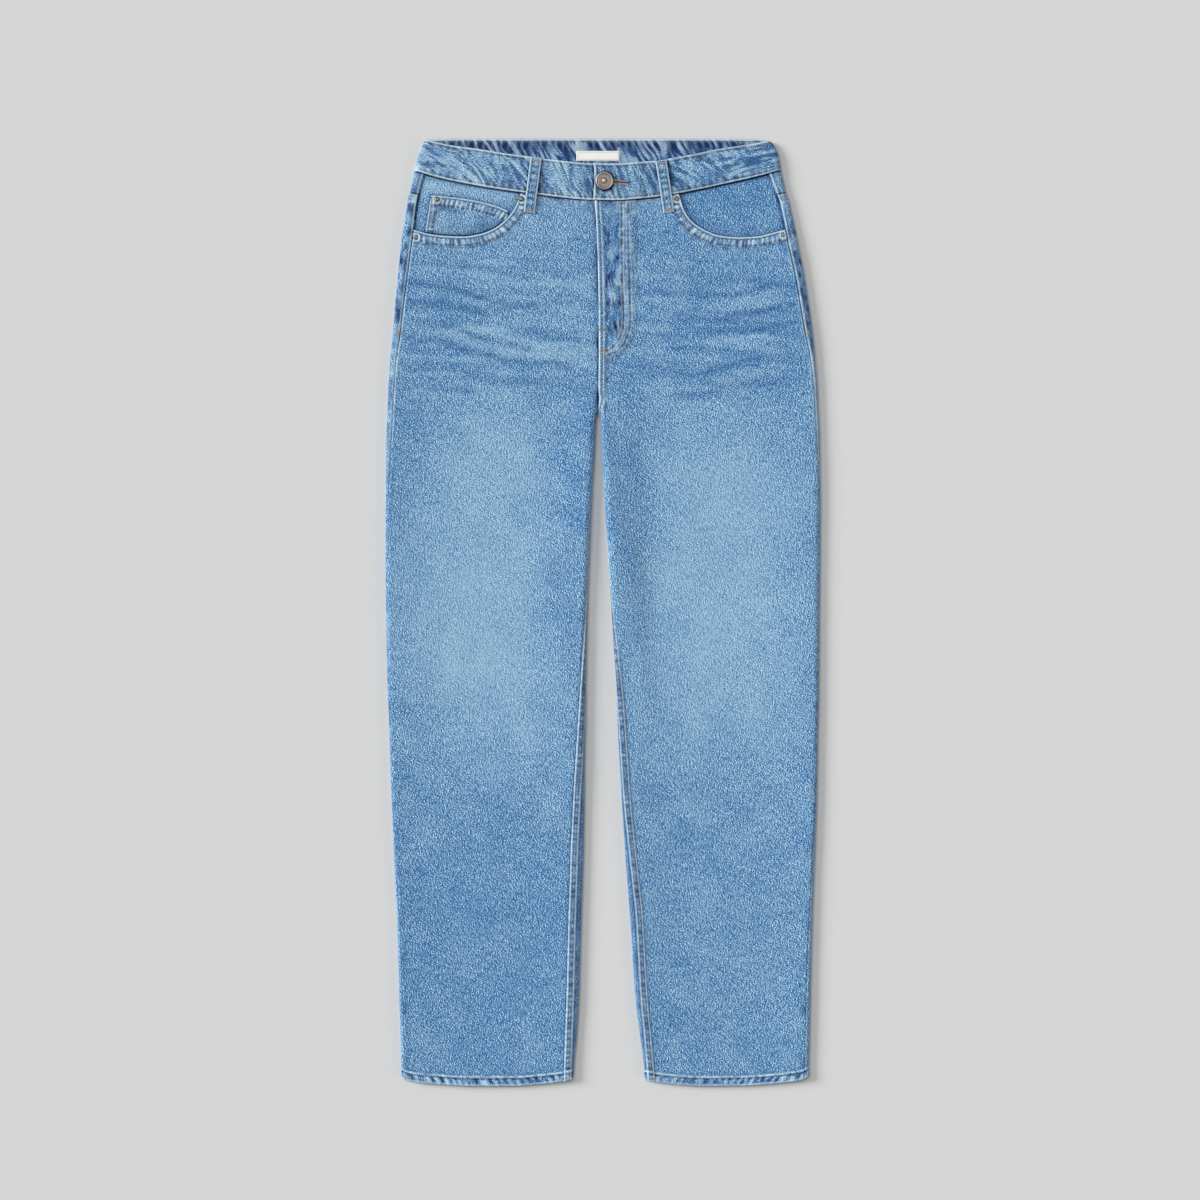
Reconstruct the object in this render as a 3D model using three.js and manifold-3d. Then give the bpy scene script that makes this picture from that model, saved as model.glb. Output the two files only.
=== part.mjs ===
import * as THREE from "three";
import Module from "manifold-3d";

const wasm = await Module();
wasm.setup();

// Loose fit jeans laid flat on their back, front up. Millimetres, waist at +Y, floor at Z 0.
// "right" and "left" are the wearer's, so the right leg lies at negative X.

// Cloth and gaps
const DENIM = 1.6;
const BAND_THICK = 2.6;
const FACING_THICK = 1.3;
const COIN_POCKET_THICK = 1.0;
const BACK_POCKET_THICK = 1.3;
const LOOP_THICK = 1.4;
const LABEL_THICK = 0.8;
const SEAM_GAP = 0.4;
const LAYER_GAP = 0.35;

// Whole garment
const CROTCH_Y = 217;
const CENTRE_X = -4.6;
const WAIST_SIDE_Y = 473;
const WAIST_BACK_Y = 468;
const HEM_CORNER_Y = -500;
const EDGE_ROUND = 1.3;
const SEAT_LIFT = BACK_POCKET_THICK + LAYER_GAP;
const LEG_SAG = 0.8;
const FOLD_EASE = 0.36;
const CROTCH_EASE = 0.5;
const WAIST_GAP = 0.6;
const CENTRE_SPARE = 20;

// Turned-up hem: its depth, and how much thicker it makes the wall outside and inside
const HEM_DEPTH = 9.6;
const HEM_OUT = 0.4;
const HEM_IN = 0.6;

// Fly: how far the left front stands proud, and how far the right front runs on under it
const FLY_RISE = 2.0;
const FLY_FADE = 12;
const FLY_TOP_FULL_Y = 285;
const FLY_START_Y = 236;
const FLY_UNDERLAP = 8;
const FLY_UNDERLAP_DROP = 0.4;

// Waistband: folded height, the lap at centre front and the end that runs on under it
const BAND_HIGH = 8.0;
const BAND_LAP_RISE = 2.1;
const BAND_UNDERLAP_DROP = 0.85;
const BAND_LAP_END_U = 0.4876;
const BAND_UNDERLAP_END_U = 0.59;

// Hardware
const BUTTON_RADIUS = 9;
const BUTTON_HIGH = 4.2;
const BUTTON_X = 1.8;
const BUTTON_Y = 461.5;
const RIVET_RADIUS = 3.6;
const RIVET_HIGH = 1.5;

// Belt loops
const LOOP_WIDE = 12.2;
const LOOP_LONG = 61;

function table(columns, rows) {
  return rows.map((row) => Object.fromEntries(columns.map((name, i) => [name, row[i]])));
}

// Cross-sections of both legs and the hips, hem to waist. right_ and left_ give each leg's outer and
// inner edge, and how far the outseam and the inseam lie from those edges, measured along the cloth
// (below 0: round on the underside).
const SECTIONS = table(
  ["y", "high", "right_outer", "right_inner", "right_outseam", "right_inseam",
    "left_inner", "left_outer", "left_outseam", "left_inseam"],
  [
    [-509, 6.0, -213.6, -33.6, 6.4, 9.5, 45.9, 219.9, 6.9, 11.4],
    [-495, 6.2, -215.0, -32.2, 6.4, 10.5, 45.0, 220.2, 6.9, 11.8],
    [-457, 6.6, -216.4, -28.6, 6.9, 12.9, 40.4, 221.2, 6.9, 13.4],
    [-414, 6.8, -217.9, -25.9, 6.4, 14.2, 35.1, 222.0, 6.9, 14.7],
    [-329, 6.8, -220.3, -23.4, 5.6, 14.5, 29.4, 224.0, 5.6, 15.5],
    [-265, 6.8, -223.2, -21.3, 4.5, 14.5, 24.6, 226.4, 4.5, 13.7],
    [-200, 6.9, -226.0, -20.1, 3.0, 12.9, 20.3, 228.8, 3.0, 11.5],
    [-136, 7.0, -228.2, -19.6, 1.8, 9.5, 16.8, 229.9, 1.8, 10.6],
    [-72, 7.0, -230.6, -19.3, 0.6, 6.0, 14.2, 231.1, 0.6, 8.2],
    [-8, 7.1, -231.8, -18.0, 0.4, 2.4, 10.7, 231.4, 0.0, 4.6],
    [56, 7.1, -232.5, -15.2, 1.6, -1.8, 6.6, 232.1, 0.0, 0.4],
    [120, 7.2, -232.4, -12.3, 5.0, -4.4, 2.0, 232.5, 1.2, -3.2],
    [185, 7.2, -231.8, -9.0, 7.7, -4.4, -1.2, 231.6, 4.6, -4.4],
    [209, 7.2, -230.9, -7.8, 8.2, -1.8, -2.0, 230.6, 5.0, -1.8],
    [217, 7.2, -230.6, -5.1, 8.3, 0.0, -4.1, 230.3, 5.1, 0.0],
    [240, 7.2, -229.6, -4.6, 8.5, 0.0, -4.6, 229.4, 5.4, 0.0],
    [270, 7.2, -227.6, -4.6, 8.8, 0.0, -4.6, 227.3, 6.7, 0.0],
    [299, 7.2, -224.9, -4.6, 10.5, 0.0, -4.6, 224.4, 9.7, 0.0],
    [329, 7.2, -222.4, -4.6, 11.4, 0.0, -4.6, 220.4, 11.0, 0.0],
    [355, 7.2, -219.8, -4.6, 12.2, 0.0, -4.6, 216.5, 11.3, 0.0],
    [399, 7.2, -215.4, -4.6, 13.6, 0.0, -4.6, 208.2, 12.5, 0.0],
    [437, 7.2, -209.4, -4.6, 12.1, 0.0, -4.6, 199.9, 11.9, 0.0],
    [450, 7.2, -206.4, -4.6, 11.8, 0.0, -4.6, 196.0, 12.5, 0.0],
    [474, 7.2, -201.3, -4.6, 13.2, 0.0, -4.6, 190.6, 16.1, 0.0],
  ],
);

// Lower edge of each hem, as a share of the way from the outer edge to the inner edge
const HEM_EDGE = table(
  ["across", "right", "left"],
  [
    [0.0, -498.6, -496.6],
    [0.04, -501.8, -500.4],
    [0.14, -504.4, -503.2],
    [0.27, -506.1, -505.6],
    [0.4, -507.3, -506.9],
    [0.65, -507.2, -507.3],
    [0.83, -504.8, -505.2],
    [0.94, -502.4, -502.7],
    [1.0, -500.0, -500.8],
  ],
);

// Front waistband edges across the body, from the right fold (0) to the left fold (1)
const BAND_EDGES = table(
  ["across", "top", "bottom"],
  [
    [0.0, 506.5, 473.0],
    [0.08, 500.0, 464.2],
    [0.16, 496.0, 457.8],
    [0.23, 491.8, 453.2],
    [0.31, 487.8, 448.8],
    [0.38, 484.3, 445.2],
    [0.47, 481.2, 441.8],
    [0.55, 480.4, 441.0],
    [0.62, 482.1, 443.0],
    [0.69, 484.8, 446.6],
    [0.775, 490.4, 452.8],
    [0.863, 496.8, 460.4],
    [0.951, 501.8, 468.4],
    [1.0, 505.6, 474.0],
  ],
);

// Ends of the folded waistband, at its lower and its upper edge
const BAND_SIDES = table(
  ["up", "right", "left"],
  [
    [0.0, -201.6, 190.6],
    [0.5, -196.8, 188.0],
    [0.85, -192.6, 183.2],
    [1.0, -190.6, 178.4],
  ],
);

// Edge of the fly on the left front
const FLY_EDGE = table(
  ["y", "x"],
  [
    [217, -4.6],
    [236, -4.8],
    [278, -4.4],
    [302, -4.4],
    [360, -5.2],
    [408, -6.7],
    [445, -9.0],
  ],
);

// Outer limit of the raised fly, where its curved stitching runs
const FLY_LIMIT = table(
  ["y", "x"],
  [
    [217, 2.0],
    [268, 4.0],
    [280, 15.0],
    [289, 23.0],
    [300, 27.0],
    [311, 29.0],
    [376, 27.5],
    [445, 27.5],
  ],
);

// Pocket mouths on the two fronts, from the belt loop to the outseam
const MOUTH_RIGHT = table(
  ["x", "y"],
  [
    [-87.6, 456.0],
    [-88.5, 446.8],
    [-90.8, 440.4],
    [-95.8, 430.5],
    [-104.0, 420.6],
    [-115.5, 411.6],
    [-131.8, 405.1],
    [-149.8, 402.6],
    [-167.9, 403.2],
    [-184.3, 405.1],
    [-203.5, 410.2],
    [-240.0, 420.0],
  ],
);
const MOUTH_LEFT = table(
  ["x", "y"],
  [
    [80.0, 456.0],
    [82.3, 444.5],
    [86.3, 432.1],
    [95.3, 419.0],
    [108.5, 410.0],
    [124.9, 403.6],
    [144.6, 401.8],
    [164.1, 402.6],
    [180.5, 406.2],
    [198.0, 411.0],
    [240.0, 423.0],
  ],
);

// Lower edge of the pocket facings, hidden under the fronts
const FACING_REACH = 13;
const FACING_RIGHT_END = -76;
const FACING_LEFT_END = 70;

// Coin pocket: upper edge
const COIN_TOP = table(
  ["x", "y"],
  [
    [-184.0, 447.0],
    [-156.4, 444.4],
    [-131.8, 440.3],
    [-113.8, 435.4],
    [-101.0, 429.8],
  ],
);
const COIN_SLANT = 6;

// Back yoke seam, as a distance from the centre back
const YOKE_SEAM = table(
  ["off", "y"],
  [
    [0, 404],
    [60, 416],
    [120, 431],
    [170, 443],
    [205, 449],
    [240, 449],
  ],
);

// Back patch pocket, from the side of the centre back: distance out and height
const BACK_POCKET = table(
  ["off", "y"],
  [
    [34, 388],
    [104, 396],
    [172, 404],
    [165, 262],
    [98, 232],
    [41, 254],
  ],
);

// The largest soft folds of the front: ends, height above the cloth (below 0: a trough), half width
const SOFT_FOLDS = table(
  ["x1", "y1", "x2", "y2", "rise", "reach"],
  [
    [24, 195, 44, -110, 1.1, 13],
    [40, 120, 62, -60, -0.7, 12],
    [-76, 156, -30, 104, -0.9, 9],
    [-60, 60, -36, -70, 0.8, 12],
    [-165, 349, -20, 318, -0.7, 10],
    [-172, 290, -32, 262, -0.7, 10],
    [62, 344, 182, 353, -0.7, 10],
    [96, 296, 206, 310, -0.7, 10],
    [84, 232, 196, 251, -0.6, 10],
    [-150, -20, -96, -70, -0.6, 14],
    [118, -30, 176, -84, -0.6, 14],
    [-186, -300, -90, -330, 0.5, 16],
    [96, -290, 196, -316, 0.5, 16],
  ],
);

// Rivets: place, and the height of the cloth under each
const RIVETS = table(
  ["name", "x", "y", "ground"],
  [
    ["rivet_coin_pocket", -177.3, 442.4, 7.2 - 0.6],
    ["rivet_right_side", -200.2, 401.6, 7.2],
    ["rivet_right_inner", -87.2, 442.6, 7.2],
    ["rivet_left_inner", 79.4, 442.8, 7.2],
    ["rivet_left_side", 193.3, 404.0, 7.2],
  ],
);

// Front belt loops: the middle of the upper and the lower end
const FRONT_LOOPS = table(
  ["name", "topX", "topY", "bottomX", "bottomY"],
  [
    ["belt_loop_front_right", -71.0, 487.4, -78.8, 427.0],
    ["belt_loop_front_left", 62.2, 484.2, 70.9, 427.4],
  ],
);

// Height of a front loop's underside along its length
const LOOP_BOW = table(
  ["along", "z"],
  [
    [0.0, 8.45],
    [0.15, 9.1],
    [0.4, 9.7],
    [0.62, 9.1],
    [0.78, 8.6],
    [0.9, 7.9],
    [1.0, 7.6],
  ],
);

const BACK_LOOPS = table(
  ["name", "x"],
  [
    ["belt_loop_back_right", -104],
    ["belt_loop_back_centre", CENTRE_X],
    ["belt_loop_back_left", 95],
  ],
);

const LABEL = { left: -28.2, right: 18.2, bottom: 483.6, top: 494.4 };

// Rows and columns of the cloth grids
const LEG_ROWS = [
  -500, -490.4, -489.2, -470, -436, -398, -358, -318, -278, -238, -198, -158, -118, -78,
  -38, 2, 42, 82, 120, 155, 185, 205, 217, 226, 238, 256,
];
const BACK_ROWS = [...LEG_ROWS, 282, 308, 334, 360, 384, 406, 428, 449];
const FRONT_ROWS = [...BACK_ROWS, WAIST_SIDE_Y];
const FRONT_OUTER_OFFSETS = [0, 2.4, 5.0, 8.6, 26, 48, 70];
const FRONT_INNER_OFFSETS = [0, 2.4, 5.0, 8.6, 24, 44, 64];

const WASHED_DENIM = 0x86abd0;
const DEEP_DENIM = 0x6f98c4;
const WAIST_DENIM = 0x84a7cb;

function between(low, high, value) {
  return Math.min(high, Math.max(low, value));
}

function smooth(start, end, value) {
  const t = between(0, 1, (value - start) / (end - start));
  return t * t * (3 - 2 * t);
}

function mix(a, b, t) {
  return a + (b - a) * t;
}

// Monotone cubic through a table, one column against another
function curve(rows, from, to) {
  const sorted = [...rows].sort((a, b) => a[from] - b[from]);
  const x = sorted.map((row) => row[from]);
  const y = sorted.map((row) => row[to]);
  const last = x.length - 1;
  const slope = [];
  for (let i = 0; i < last; i += 1) {
    slope.push((y[i + 1] - y[i]) / (x[i + 1] - x[i]));
  }
  const tangent = x.map((_, i) => {
    if (i === 0) {
      return slope[0];
    }
    if (i === last) {
      return slope[last - 1];
    }
    const product = slope[i - 1] * slope[i];
    return product <= 0 ? 0 : (2 * product) / (slope[i - 1] + slope[i]);
  });
  return (value) => {
    const v = between(x[0], x[last], value);
    let i = 0;
    while (i < last - 1 && v > x[i + 1]) {
      i += 1;
    }
    const wide = x[i + 1] - x[i];
    const t = (v - x[i]) / wide;
    const t2 = t * t;
    const t3 = t2 * t;
    const start = (2 * t3 - 3 * t2 + 1) * y[i] + (t3 - 2 * t2 + t) * wide * tangent[i];
    return start + (3 * t2 - 2 * t3) * y[i + 1] + (t3 - t2) * wide * tangent[i + 1];
  };
}

function makeSide(name, dir, mouth, facingEnd) {
  return {
    name,
    dir,
    facingEnd,
    outer: curve(SECTIONS, "y", `${name}_outer`),
    inner: curve(SECTIONS, "y", `${name}_inner`),
    outseam: curve(SECTIONS, "y", `${name}_outseam`),
    inseam: curve(SECTIONS, "y", `${name}_inseam`),
    hem: curve(HEM_EDGE, "across", name),
    bandSide: curve(BAND_SIDES, "up", name),
    mouth: curve(mouth, "x", "y"),
    mouthRows: mouth,
  };
}

const RIGHT = makeSide("right", 1, MOUTH_RIGHT, FACING_RIGHT_END);
const LEFT = makeSide("left", -1, MOUTH_LEFT, FACING_LEFT_END);
const foldHigh = curve(SECTIONS, "y", "high");
const flyEdge = curve(FLY_EDGE, "y", "x");
const flyLimit = curve(FLY_LIMIT, "y", "x");
const bandTop = curve(BAND_EDGES, "across", "top");
const bandBottom = curve(BAND_EDGES, "across", "bottom");
const yokeSeam = curve(YOKE_SEAM, "off", "y");
const coinTop = curve(COIN_TOP, "x", "y");
const loopBow = curve(LOOP_BOW, "along", "z");

// One flattened cross-section: a ring with an elliptical fold at each edge.
// Above the crotch the inner fold opens out flat; it then runs on past the centre by a spare width,
// out of which the fronts are cut along the fly.
function sectionAt(side, y) {
  const r = foldHigh(y) / 2;
  const a = r * EDGE_ROUND;
  const opened = smooth(CROTCH_Y, CROTCH_Y + 23, y);
  const phi = (opened * Math.PI) / 2;
  const quarter = (Math.PI / 2) * Math.sqrt((a * a + r * r) / 2);
  const spare = CENTRE_SPARE * smooth(CROTCH_Y + 21, CROTCH_Y + 46, y);
  const outer = side.outer(y);
  const inner = side.inner(y) + side.dir * (a * (1 - Math.cos(phi)) + spare);
  const wide = side.dir * (inner - outer);
  const length = 2 * quarter + wide - 2 * a;
  return { r, a, opened, spare, quarter, outer, wide, length };
}

// The fold at a distance along it from its outermost point: reach in from the edge, and rise
function foldAt(section, distance) {
  const phi = ((distance / section.quarter) * Math.PI) / 2;
  return { reach: section.a * (1 - Math.cos(phi)), rise: section.r * Math.sin(phi) };
}

function segmentDistance(x, y, fold) {
  const dx = fold.x2 - fold.x1;
  const dy = fold.y2 - fold.y1;
  const t = between(0, 1, ((x - fold.x1) * dx + (y - fold.y1) * dy) / (dx * dx + dy * dy));
  const away = Math.hypot(x - fold.x1 - t * dx, y - fold.y1 - t * dy);
  return { away, taper: 0.35 + 2.6 * t * (1 - t) };
}

function foldRelief(x, y) {
  let z = 0;
  for (const fold of SOFT_FOLDS) {
    const { away, taper } = segmentDistance(x, y, fold);
    z += fold.rise * taper * Math.exp(-((away / fold.reach) ** 2));
  }
  return z;
}

// What the top of the cloth adds to its folded height
function topRelief(side, section, across, x, y) {
  const fromInner = section.opened > 0.99 ? 60 : section.wide - across;
  const inward = smooth(section.a, 34, Math.min(across, fromInner));
  const calm = 1 - smooth(400, 430, y);
  const low = Math.sin(Math.PI * between(0, 1, across / section.wide));
  const sag = -LEG_SAG * low * (1 - smooth(170, 260, y)) * smooth(-500, -440, y);
  let z = inward * calm * foldRelief(x, y) + inward * sag;
  if (side === LEFT) {
    const rise = FLY_RISE * smooth(FLY_START_Y, FLY_TOP_FULL_Y, y);
    const limit = flyLimit(y);
    z += rise * (1 - smooth(limit, limit + FLY_FADE, x));
  } else {
    const start = flyEdge(y) - 7;
    z -= FLY_UNDERLAP_DROP * smooth(270, 290, y) * smooth(start, start + 6, x);
  }
  return z;
}

// The seat rests on its pockets and belt loops, so its underside stands a little off the floor
function seatLift(section, across, y) {
  const fromOuter = smooth(section.a + 2, section.a + 16, across);
  const fromInner = mix(smooth(0, section.a + 4, section.wide - across), 1, section.opened);
  return SEAT_LIFT * smooth(190, 228, y) * fromOuter * fromInner;
}

// Outer surface of the cloth. along is the distance round the ring from the outer edge:
// above 0 over the top, below 0 over the underside.
function skin(side, y, along) {
  const section = sectionAt(side, y);
  const ring = 2 * section.length;
  const wrapped = ((along % ring) + ring) % ring;
  const onTop = wrapped <= section.length;
  const s = onTop ? wrapped : ring - wrapped;
  let across = section.a + s - section.quarter;
  let rise = section.r;
  if (s < section.quarter) {
    const fold = foldAt(section, s);
    across = fold.reach;
    rise = fold.rise;
  } else if (s > section.length - section.quarter) {
    const fold = foldAt(section, section.length - s);
    across = section.wide - fold.reach;
    rise = fold.rise;
  }
  const x = section.outer + side.dir * across;
  let z = onTop ? section.r + rise : section.r - rise;
  z += onTop ? topRelief(side, section, across, x, y) : seatLift(section, across, y);
  return new THREE.Vector3(x, y, z);
}

function skinNormal(side, y, along) {
  const ds = 0.25;
  const dy = 0.5;
  const u = skin(side, y, along + ds).sub(skin(side, y, along - ds));
  const v = skin(side, y + dy, along).sub(skin(side, y - dy, along));
  const normal = u.cross(v).normalize();
  return normal.multiplyScalar(side.dir);
}

// A closed wall between two grids of points of the same size
function wall(outer, inner) {
  const rows = outer.length;
  const columns = outer[0].length;
  const positions = [];
  for (const point of [...outer.flat(), ...inner.flat()]) {
    positions.push(point.x, point.y, point.z);
  }
  const at = (layer, r, c) => (layer * rows + r) * columns + c;
  const index = [];
  const quad = (a, b, c, d) => index.push(a, b, c, a, c, d);
  for (let r = 0; r < rows - 1; r += 1) {
    for (let c = 0; c < columns - 1; c += 1) {
      quad(at(0, r, c), at(0, r, c + 1), at(0, r + 1, c + 1), at(0, r + 1, c));
      quad(at(1, r + 1, c), at(1, r + 1, c + 1), at(1, r, c + 1), at(1, r, c));
    }
  }
  for (let c = 0; c < columns - 1; c += 1) {
    const e = rows - 1;
    quad(at(1, 0, c), at(1, 0, c + 1), at(0, 0, c + 1), at(0, 0, c));
    quad(at(0, e, c), at(0, e, c + 1), at(1, e, c + 1), at(1, e, c));
  }
  for (let r = 0; r < rows - 1; r += 1) {
    const e = columns - 1;
    quad(at(0, r, 0), at(0, r + 1, 0), at(1, r + 1, 0), at(1, r, 0));
    quad(at(1, r, e), at(1, r + 1, e), at(0, r + 1, e), at(0, r, e));
  }
  return faceOut(positions, index);
}

function faceOut(positions, index) {
  let volume = 0;
  const point = (i) => new THREE.Vector3().fromArray(positions, 3 * i);
  for (let t = 0; t < index.length; t += 3) {
    volume += point(index[t]).dot(point(index[t + 1]).cross(point(index[t + 2])));
  }
  if (volume < 0) {
    index.reverse();
  }
  const geometry = new THREE.BufferGeometry();
  geometry.setAttribute("position", new THREE.Float32BufferAttribute(positions, 3));
  geometry.setIndex(index);
  return geometry;
}

// The cloth between two depths under the outer surface, over a grid of {y, along} places
function clothWall(side, grid, depth, thick) {
  const outer = grid.map((row) => row.map((cell) => {
    const normal = skinNormal(side, cell.y, cell.along);
    const out = (cell.hem ?? 0) * HEM_OUT * smooth(-0.6, 0.6, normal.z);
    return skin(side, cell.y, cell.along).addScaledVector(normal, out - depth);
  }));
  const inner = grid.map((row) => row.map((cell) => {
    const normal = skinNormal(side, cell.y, cell.along);
    const more = (cell.hem ?? 0) * HEM_IN;
    return skin(side, cell.y, cell.along).addScaledVector(normal, -depth - thick - more);
  }));
  return wall(outer, inner);
}

// Lower edge of the waistband where it meets the cloth below it
function waistSeam(x, onTop) {
  const low = RIGHT.bandSide(0);
  const high = LEFT.bandSide(0);
  const u = between(0, 1, (x - low) / (high - low));
  if (onTop) {
    return bandBottom(u) - WAIST_GAP;
  }
  const side = mix(bandBottom(0), bandBottom(1), u);
  return mix(WAIST_BACK_Y, side, (2 * u - 1) ** 2) - WAIST_GAP;
}

// Columns share one upper edge each; rows slide up or down near the hem and the upper edge
function gridFor(side, rows, placesAt, edgeY) {
  const top = rows[rows.length - 1];
  const count = placesAt(0).length;
  const columns = [];
  for (let c = 0; c < count; c += 1) {
    let upper = top;
    for (let i = 0; i < 6; i += 1) {
      upper = edgeY(skin(side, upper, placesAt(upper)[c]).x, placesAt(upper)[c]);
    }
    const footing = sectionAt(side, HEM_CORNER_Y);
    const foot = skin(side, HEM_CORNER_Y, placesAt(HEM_CORNER_Y)[c]);
    const across = between(0, 1, (side.dir * (foot.x - footing.outer)) / footing.wide);
    columns.push({ upper: upper - top, lower: side.hem(across) - HEM_CORNER_Y });
  }
  return rows.map((nominal) => columns.map((column, c) => {
    const nearHem = 1 - smooth(-478, -390, nominal);
    const nearTop = between(0, 1, (nominal - 300) / (top - 300));
    const y = nominal + column.lower * nearHem + column.upper * nearTop;
    const hem = nominal <= HEM_CORNER_Y + HEM_DEPTH ? 1 : 0;
    return { y, along: placesAt(y)[c], hem };
  }));
}

// Half the gap left at a seam so far along the cloth from the edge: a little wider in the sharp
// fold, where the insides of the walls come closer than their outsides
function foldGap(along) {
  return SEAM_GAP / 2 + FOLD_EASE * Math.exp(-((along / 4) ** 2));
}

// The same at the inseam and the rise, wider again where four panels meet
function seamHalf(side, y) {
  const crotch = CROTCH_EASE * Math.exp(-(((y - CROTCH_Y) / 16) ** 2));
  const atFold = y > CROTCH_Y ? SEAM_GAP / 2 : foldGap(side.inseam(y));
  return Math.max(atFold, SEAM_GAP / 2 + crotch);
}

function frontPlaces(side) {
  return (y) => {
    const section = sectionAt(side, y);
    const start = side.outseam(y) + foldGap(side.outseam(y));
    const inseam = side.inseam(y);
    const atCentre = section.quarter * section.opened + section.spare;
    const fly = side.dir * (flyEdge(y) - CENTRE_X) * section.opened;
    const under = side === RIGHT ? FLY_UNDERLAP * smooth(290, 306, y) : 0;
    const end = section.length - inseam - atCentre + fly + under - seamHalf(side, y);
    const outer = FRONT_OUTER_OFFSETS.map((offset) => start + offset);
    const inner = FRONT_INNER_OFFSETS.map((offset) => end - offset).reverse();
    return [...outer, (outer[outer.length - 1] + inner[0]) / 2, ...inner];
  };
}

function backPlaces(side) {
  return (y) => {
    const section = sectionAt(side, y);
    const start = side.outseam(y) - foldGap(side.outseam(y));
    const under = section.quarter + 1.5;
    const inseam = side.inseam(y);
    const opened = section.quarter * section.opened + section.spare;
    const end = -section.length - inseam + opened + seamHalf(side, y);
    const turn = -section.length + Math.max(under, opened + 6);
    const places = [];
    for (let i = 0; i < 5; i += 1) {
      places.push(mix(start, -under, i / 5));
    }
    for (let i = 0; i < 7; i += 1) {
      places.push(mix(-under, turn, i / 7));
    }
    for (let i = 0; i <= 4; i += 1) {
      places.push(mix(turn, end, i / 4));
    }
    return places;
  };
}

// Booleans on closed geometries
function toManifold(geometry) {
  const positions = geometry.getAttribute("position").array;
  return new wasm.Manifold(new wasm.Mesh({
    numProp: 3,
    vertProperties: Float32Array.from(positions),
    triVerts: Uint32Array.from(geometry.getIndex().array),
  }));
}

function fromManifold(solid) {
  const mesh = solid.getMesh();
  const geometry = new THREE.BufferGeometry();
  const positions = Float32Array.from(mesh.vertProperties);
  geometry.setAttribute("position", new THREE.BufferAttribute(positions, 3));
  geometry.setIndex([...mesh.triVerts]);
  return geometry;
}

// A straight-sided block over an outline of {x, y}, from floor to ceiling
function prism(outline, floor, ceiling) {
  const count = outline.length;
  const contour = outline.map((point) => new THREE.Vector2(point.x, point.y));
  if (THREE.ShapeUtils.isClockWise(contour)) {
    contour.reverse();
  }
  const positions = [];
  for (const z of [floor, ceiling]) {
    for (const point of contour) {
      positions.push(point.x, point.y, z);
    }
  }
  const index = [];
  for (const [a, b, c] of THREE.ShapeUtils.triangulateShape(contour, [])) {
    index.push(c, b, a, a + count, b + count, c + count);
  }
  for (let i = 0; i < count; i += 1) {
    const j = (i + 1) % count;
    index.push(i, j, j + count, i, j + count, i + count);
  }
  return faceOut(positions, index);
}

// Everything above a pocket mouth and outside its inner end
function mouthOutline(side) {
  const outline = [];
  side.mouthRows.slice(1).forEach((row, i) => {
    const before = side.mouthRows[i];
    for (const share of [0, 0.5]) {
      const x = mix(before.x, row.x, share);
      outline.push({ x, y: side.mouth(x) });
    }
  });
  const last = outline[outline.length - 1];
  return [...outline, { x: last.x, y: 490 }, { x: outline[0].x, y: 490 }];
}

function frontPanel(side) {
  const edge = (x) => waistSeam(x, true);
  const panel = clothWall(side, gridFor(side, FRONT_ROWS, frontPlaces(side), edge), 0, DENIM);
  const mouth = toManifold(prism(mouthOutline(side), -20, 30));
  return fromManifold(toManifold(panel).subtract(mouth));
}

function backPanel(side) {
  const edge = (x) => yokeSeam(Math.abs(x - CENTRE_X)) - SEAM_GAP / 2;
  return clothWall(side, gridFor(side, BACK_ROWS, backPlaces(side), edge), 0, DENIM);
}

function yoke(side) {
  const placesAt = backPlaces(side);
  const count = placesAt(0).length;
  const shares = [0, 0.33, 0.66, 1];
  const columns = [];
  for (let c = 0; c < count; c += 1) {
    let low = 440;
    let high = 465;
    for (let i = 0; i < 6; i += 1) {
      const lowPoint = skin(side, low, placesAt(low)[c]);
      low = yokeSeam(Math.abs(lowPoint.x - CENTRE_X)) + SEAM_GAP / 2;
      const highPoint = skin(side, high, placesAt(high)[c]);
      high = waistSeam(highPoint.x, placesAt(high)[c] > 0);
    }
    columns.push({ low, high });
  }
  const grid = shares.map((share) => columns.map((column, c) => {
    const y = mix(column.low, column.high, share);
    return { y, along: placesAt(y)[c] };
  }));
  return clothWall(side, grid, 0, DENIM);
}

// Distance along the ring of a point on the flat top at a given x
function alongAtX(side, y, x) {
  const section = sectionAt(side, y);
  return section.quarter + side.dir * (x - section.outer) - section.a;
}

function seamX(side, y) {
  const section = sectionAt(side, y);
  const reach = section.a + side.outseam(y) - section.quarter;
  return section.outer + side.dir * (reach + SEAM_GAP / 2);
}

function patchGrid(side, columnX, lowAt, highAt, rowShares) {
  return rowShares.map((share) => columnX.map((columnAt) => {
    let y = 430;
    for (let i = 0; i < 8; i += 1) {
      const x = columnAt(y);
      y = mix(lowAt(x), highAt(x), share);
    }
    return { y, along: alongAtX(side, y, columnAt(y)) };
  }));
}

function pocketFacing(side) {
  const shares = [0, 0.06, 0.14, 0.24, 0.36, 0.5, 0.64, 0.76, 0.87, 0.95, 1];
  const columnX = shares.map((share) => (y) => mix(seamX(side, y), side.facingEnd, share));
  const innerEnd = side.mouthRows[1].x;
  const low = (x) => {
    const inside = side.dir * (x - innerEnd);
    const past = between(0, 1, inside / 12);
    const mouthY = side.mouth(x - side.dir * FACING_REACH * 0.8);
    return Math.min(mouthY - FACING_REACH * (1 - 0.3 * past), 437);
  };
  const high = (x) => waistSeam(x, true);
  const rows = [0, 0.22, 0.44, 0.66, 0.84, 1];
  const grid = patchGrid(side, columnX, low, high, rows);
  return clothWall(side, grid, DENIM + LAYER_GAP, FACING_THICK);
}

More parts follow.
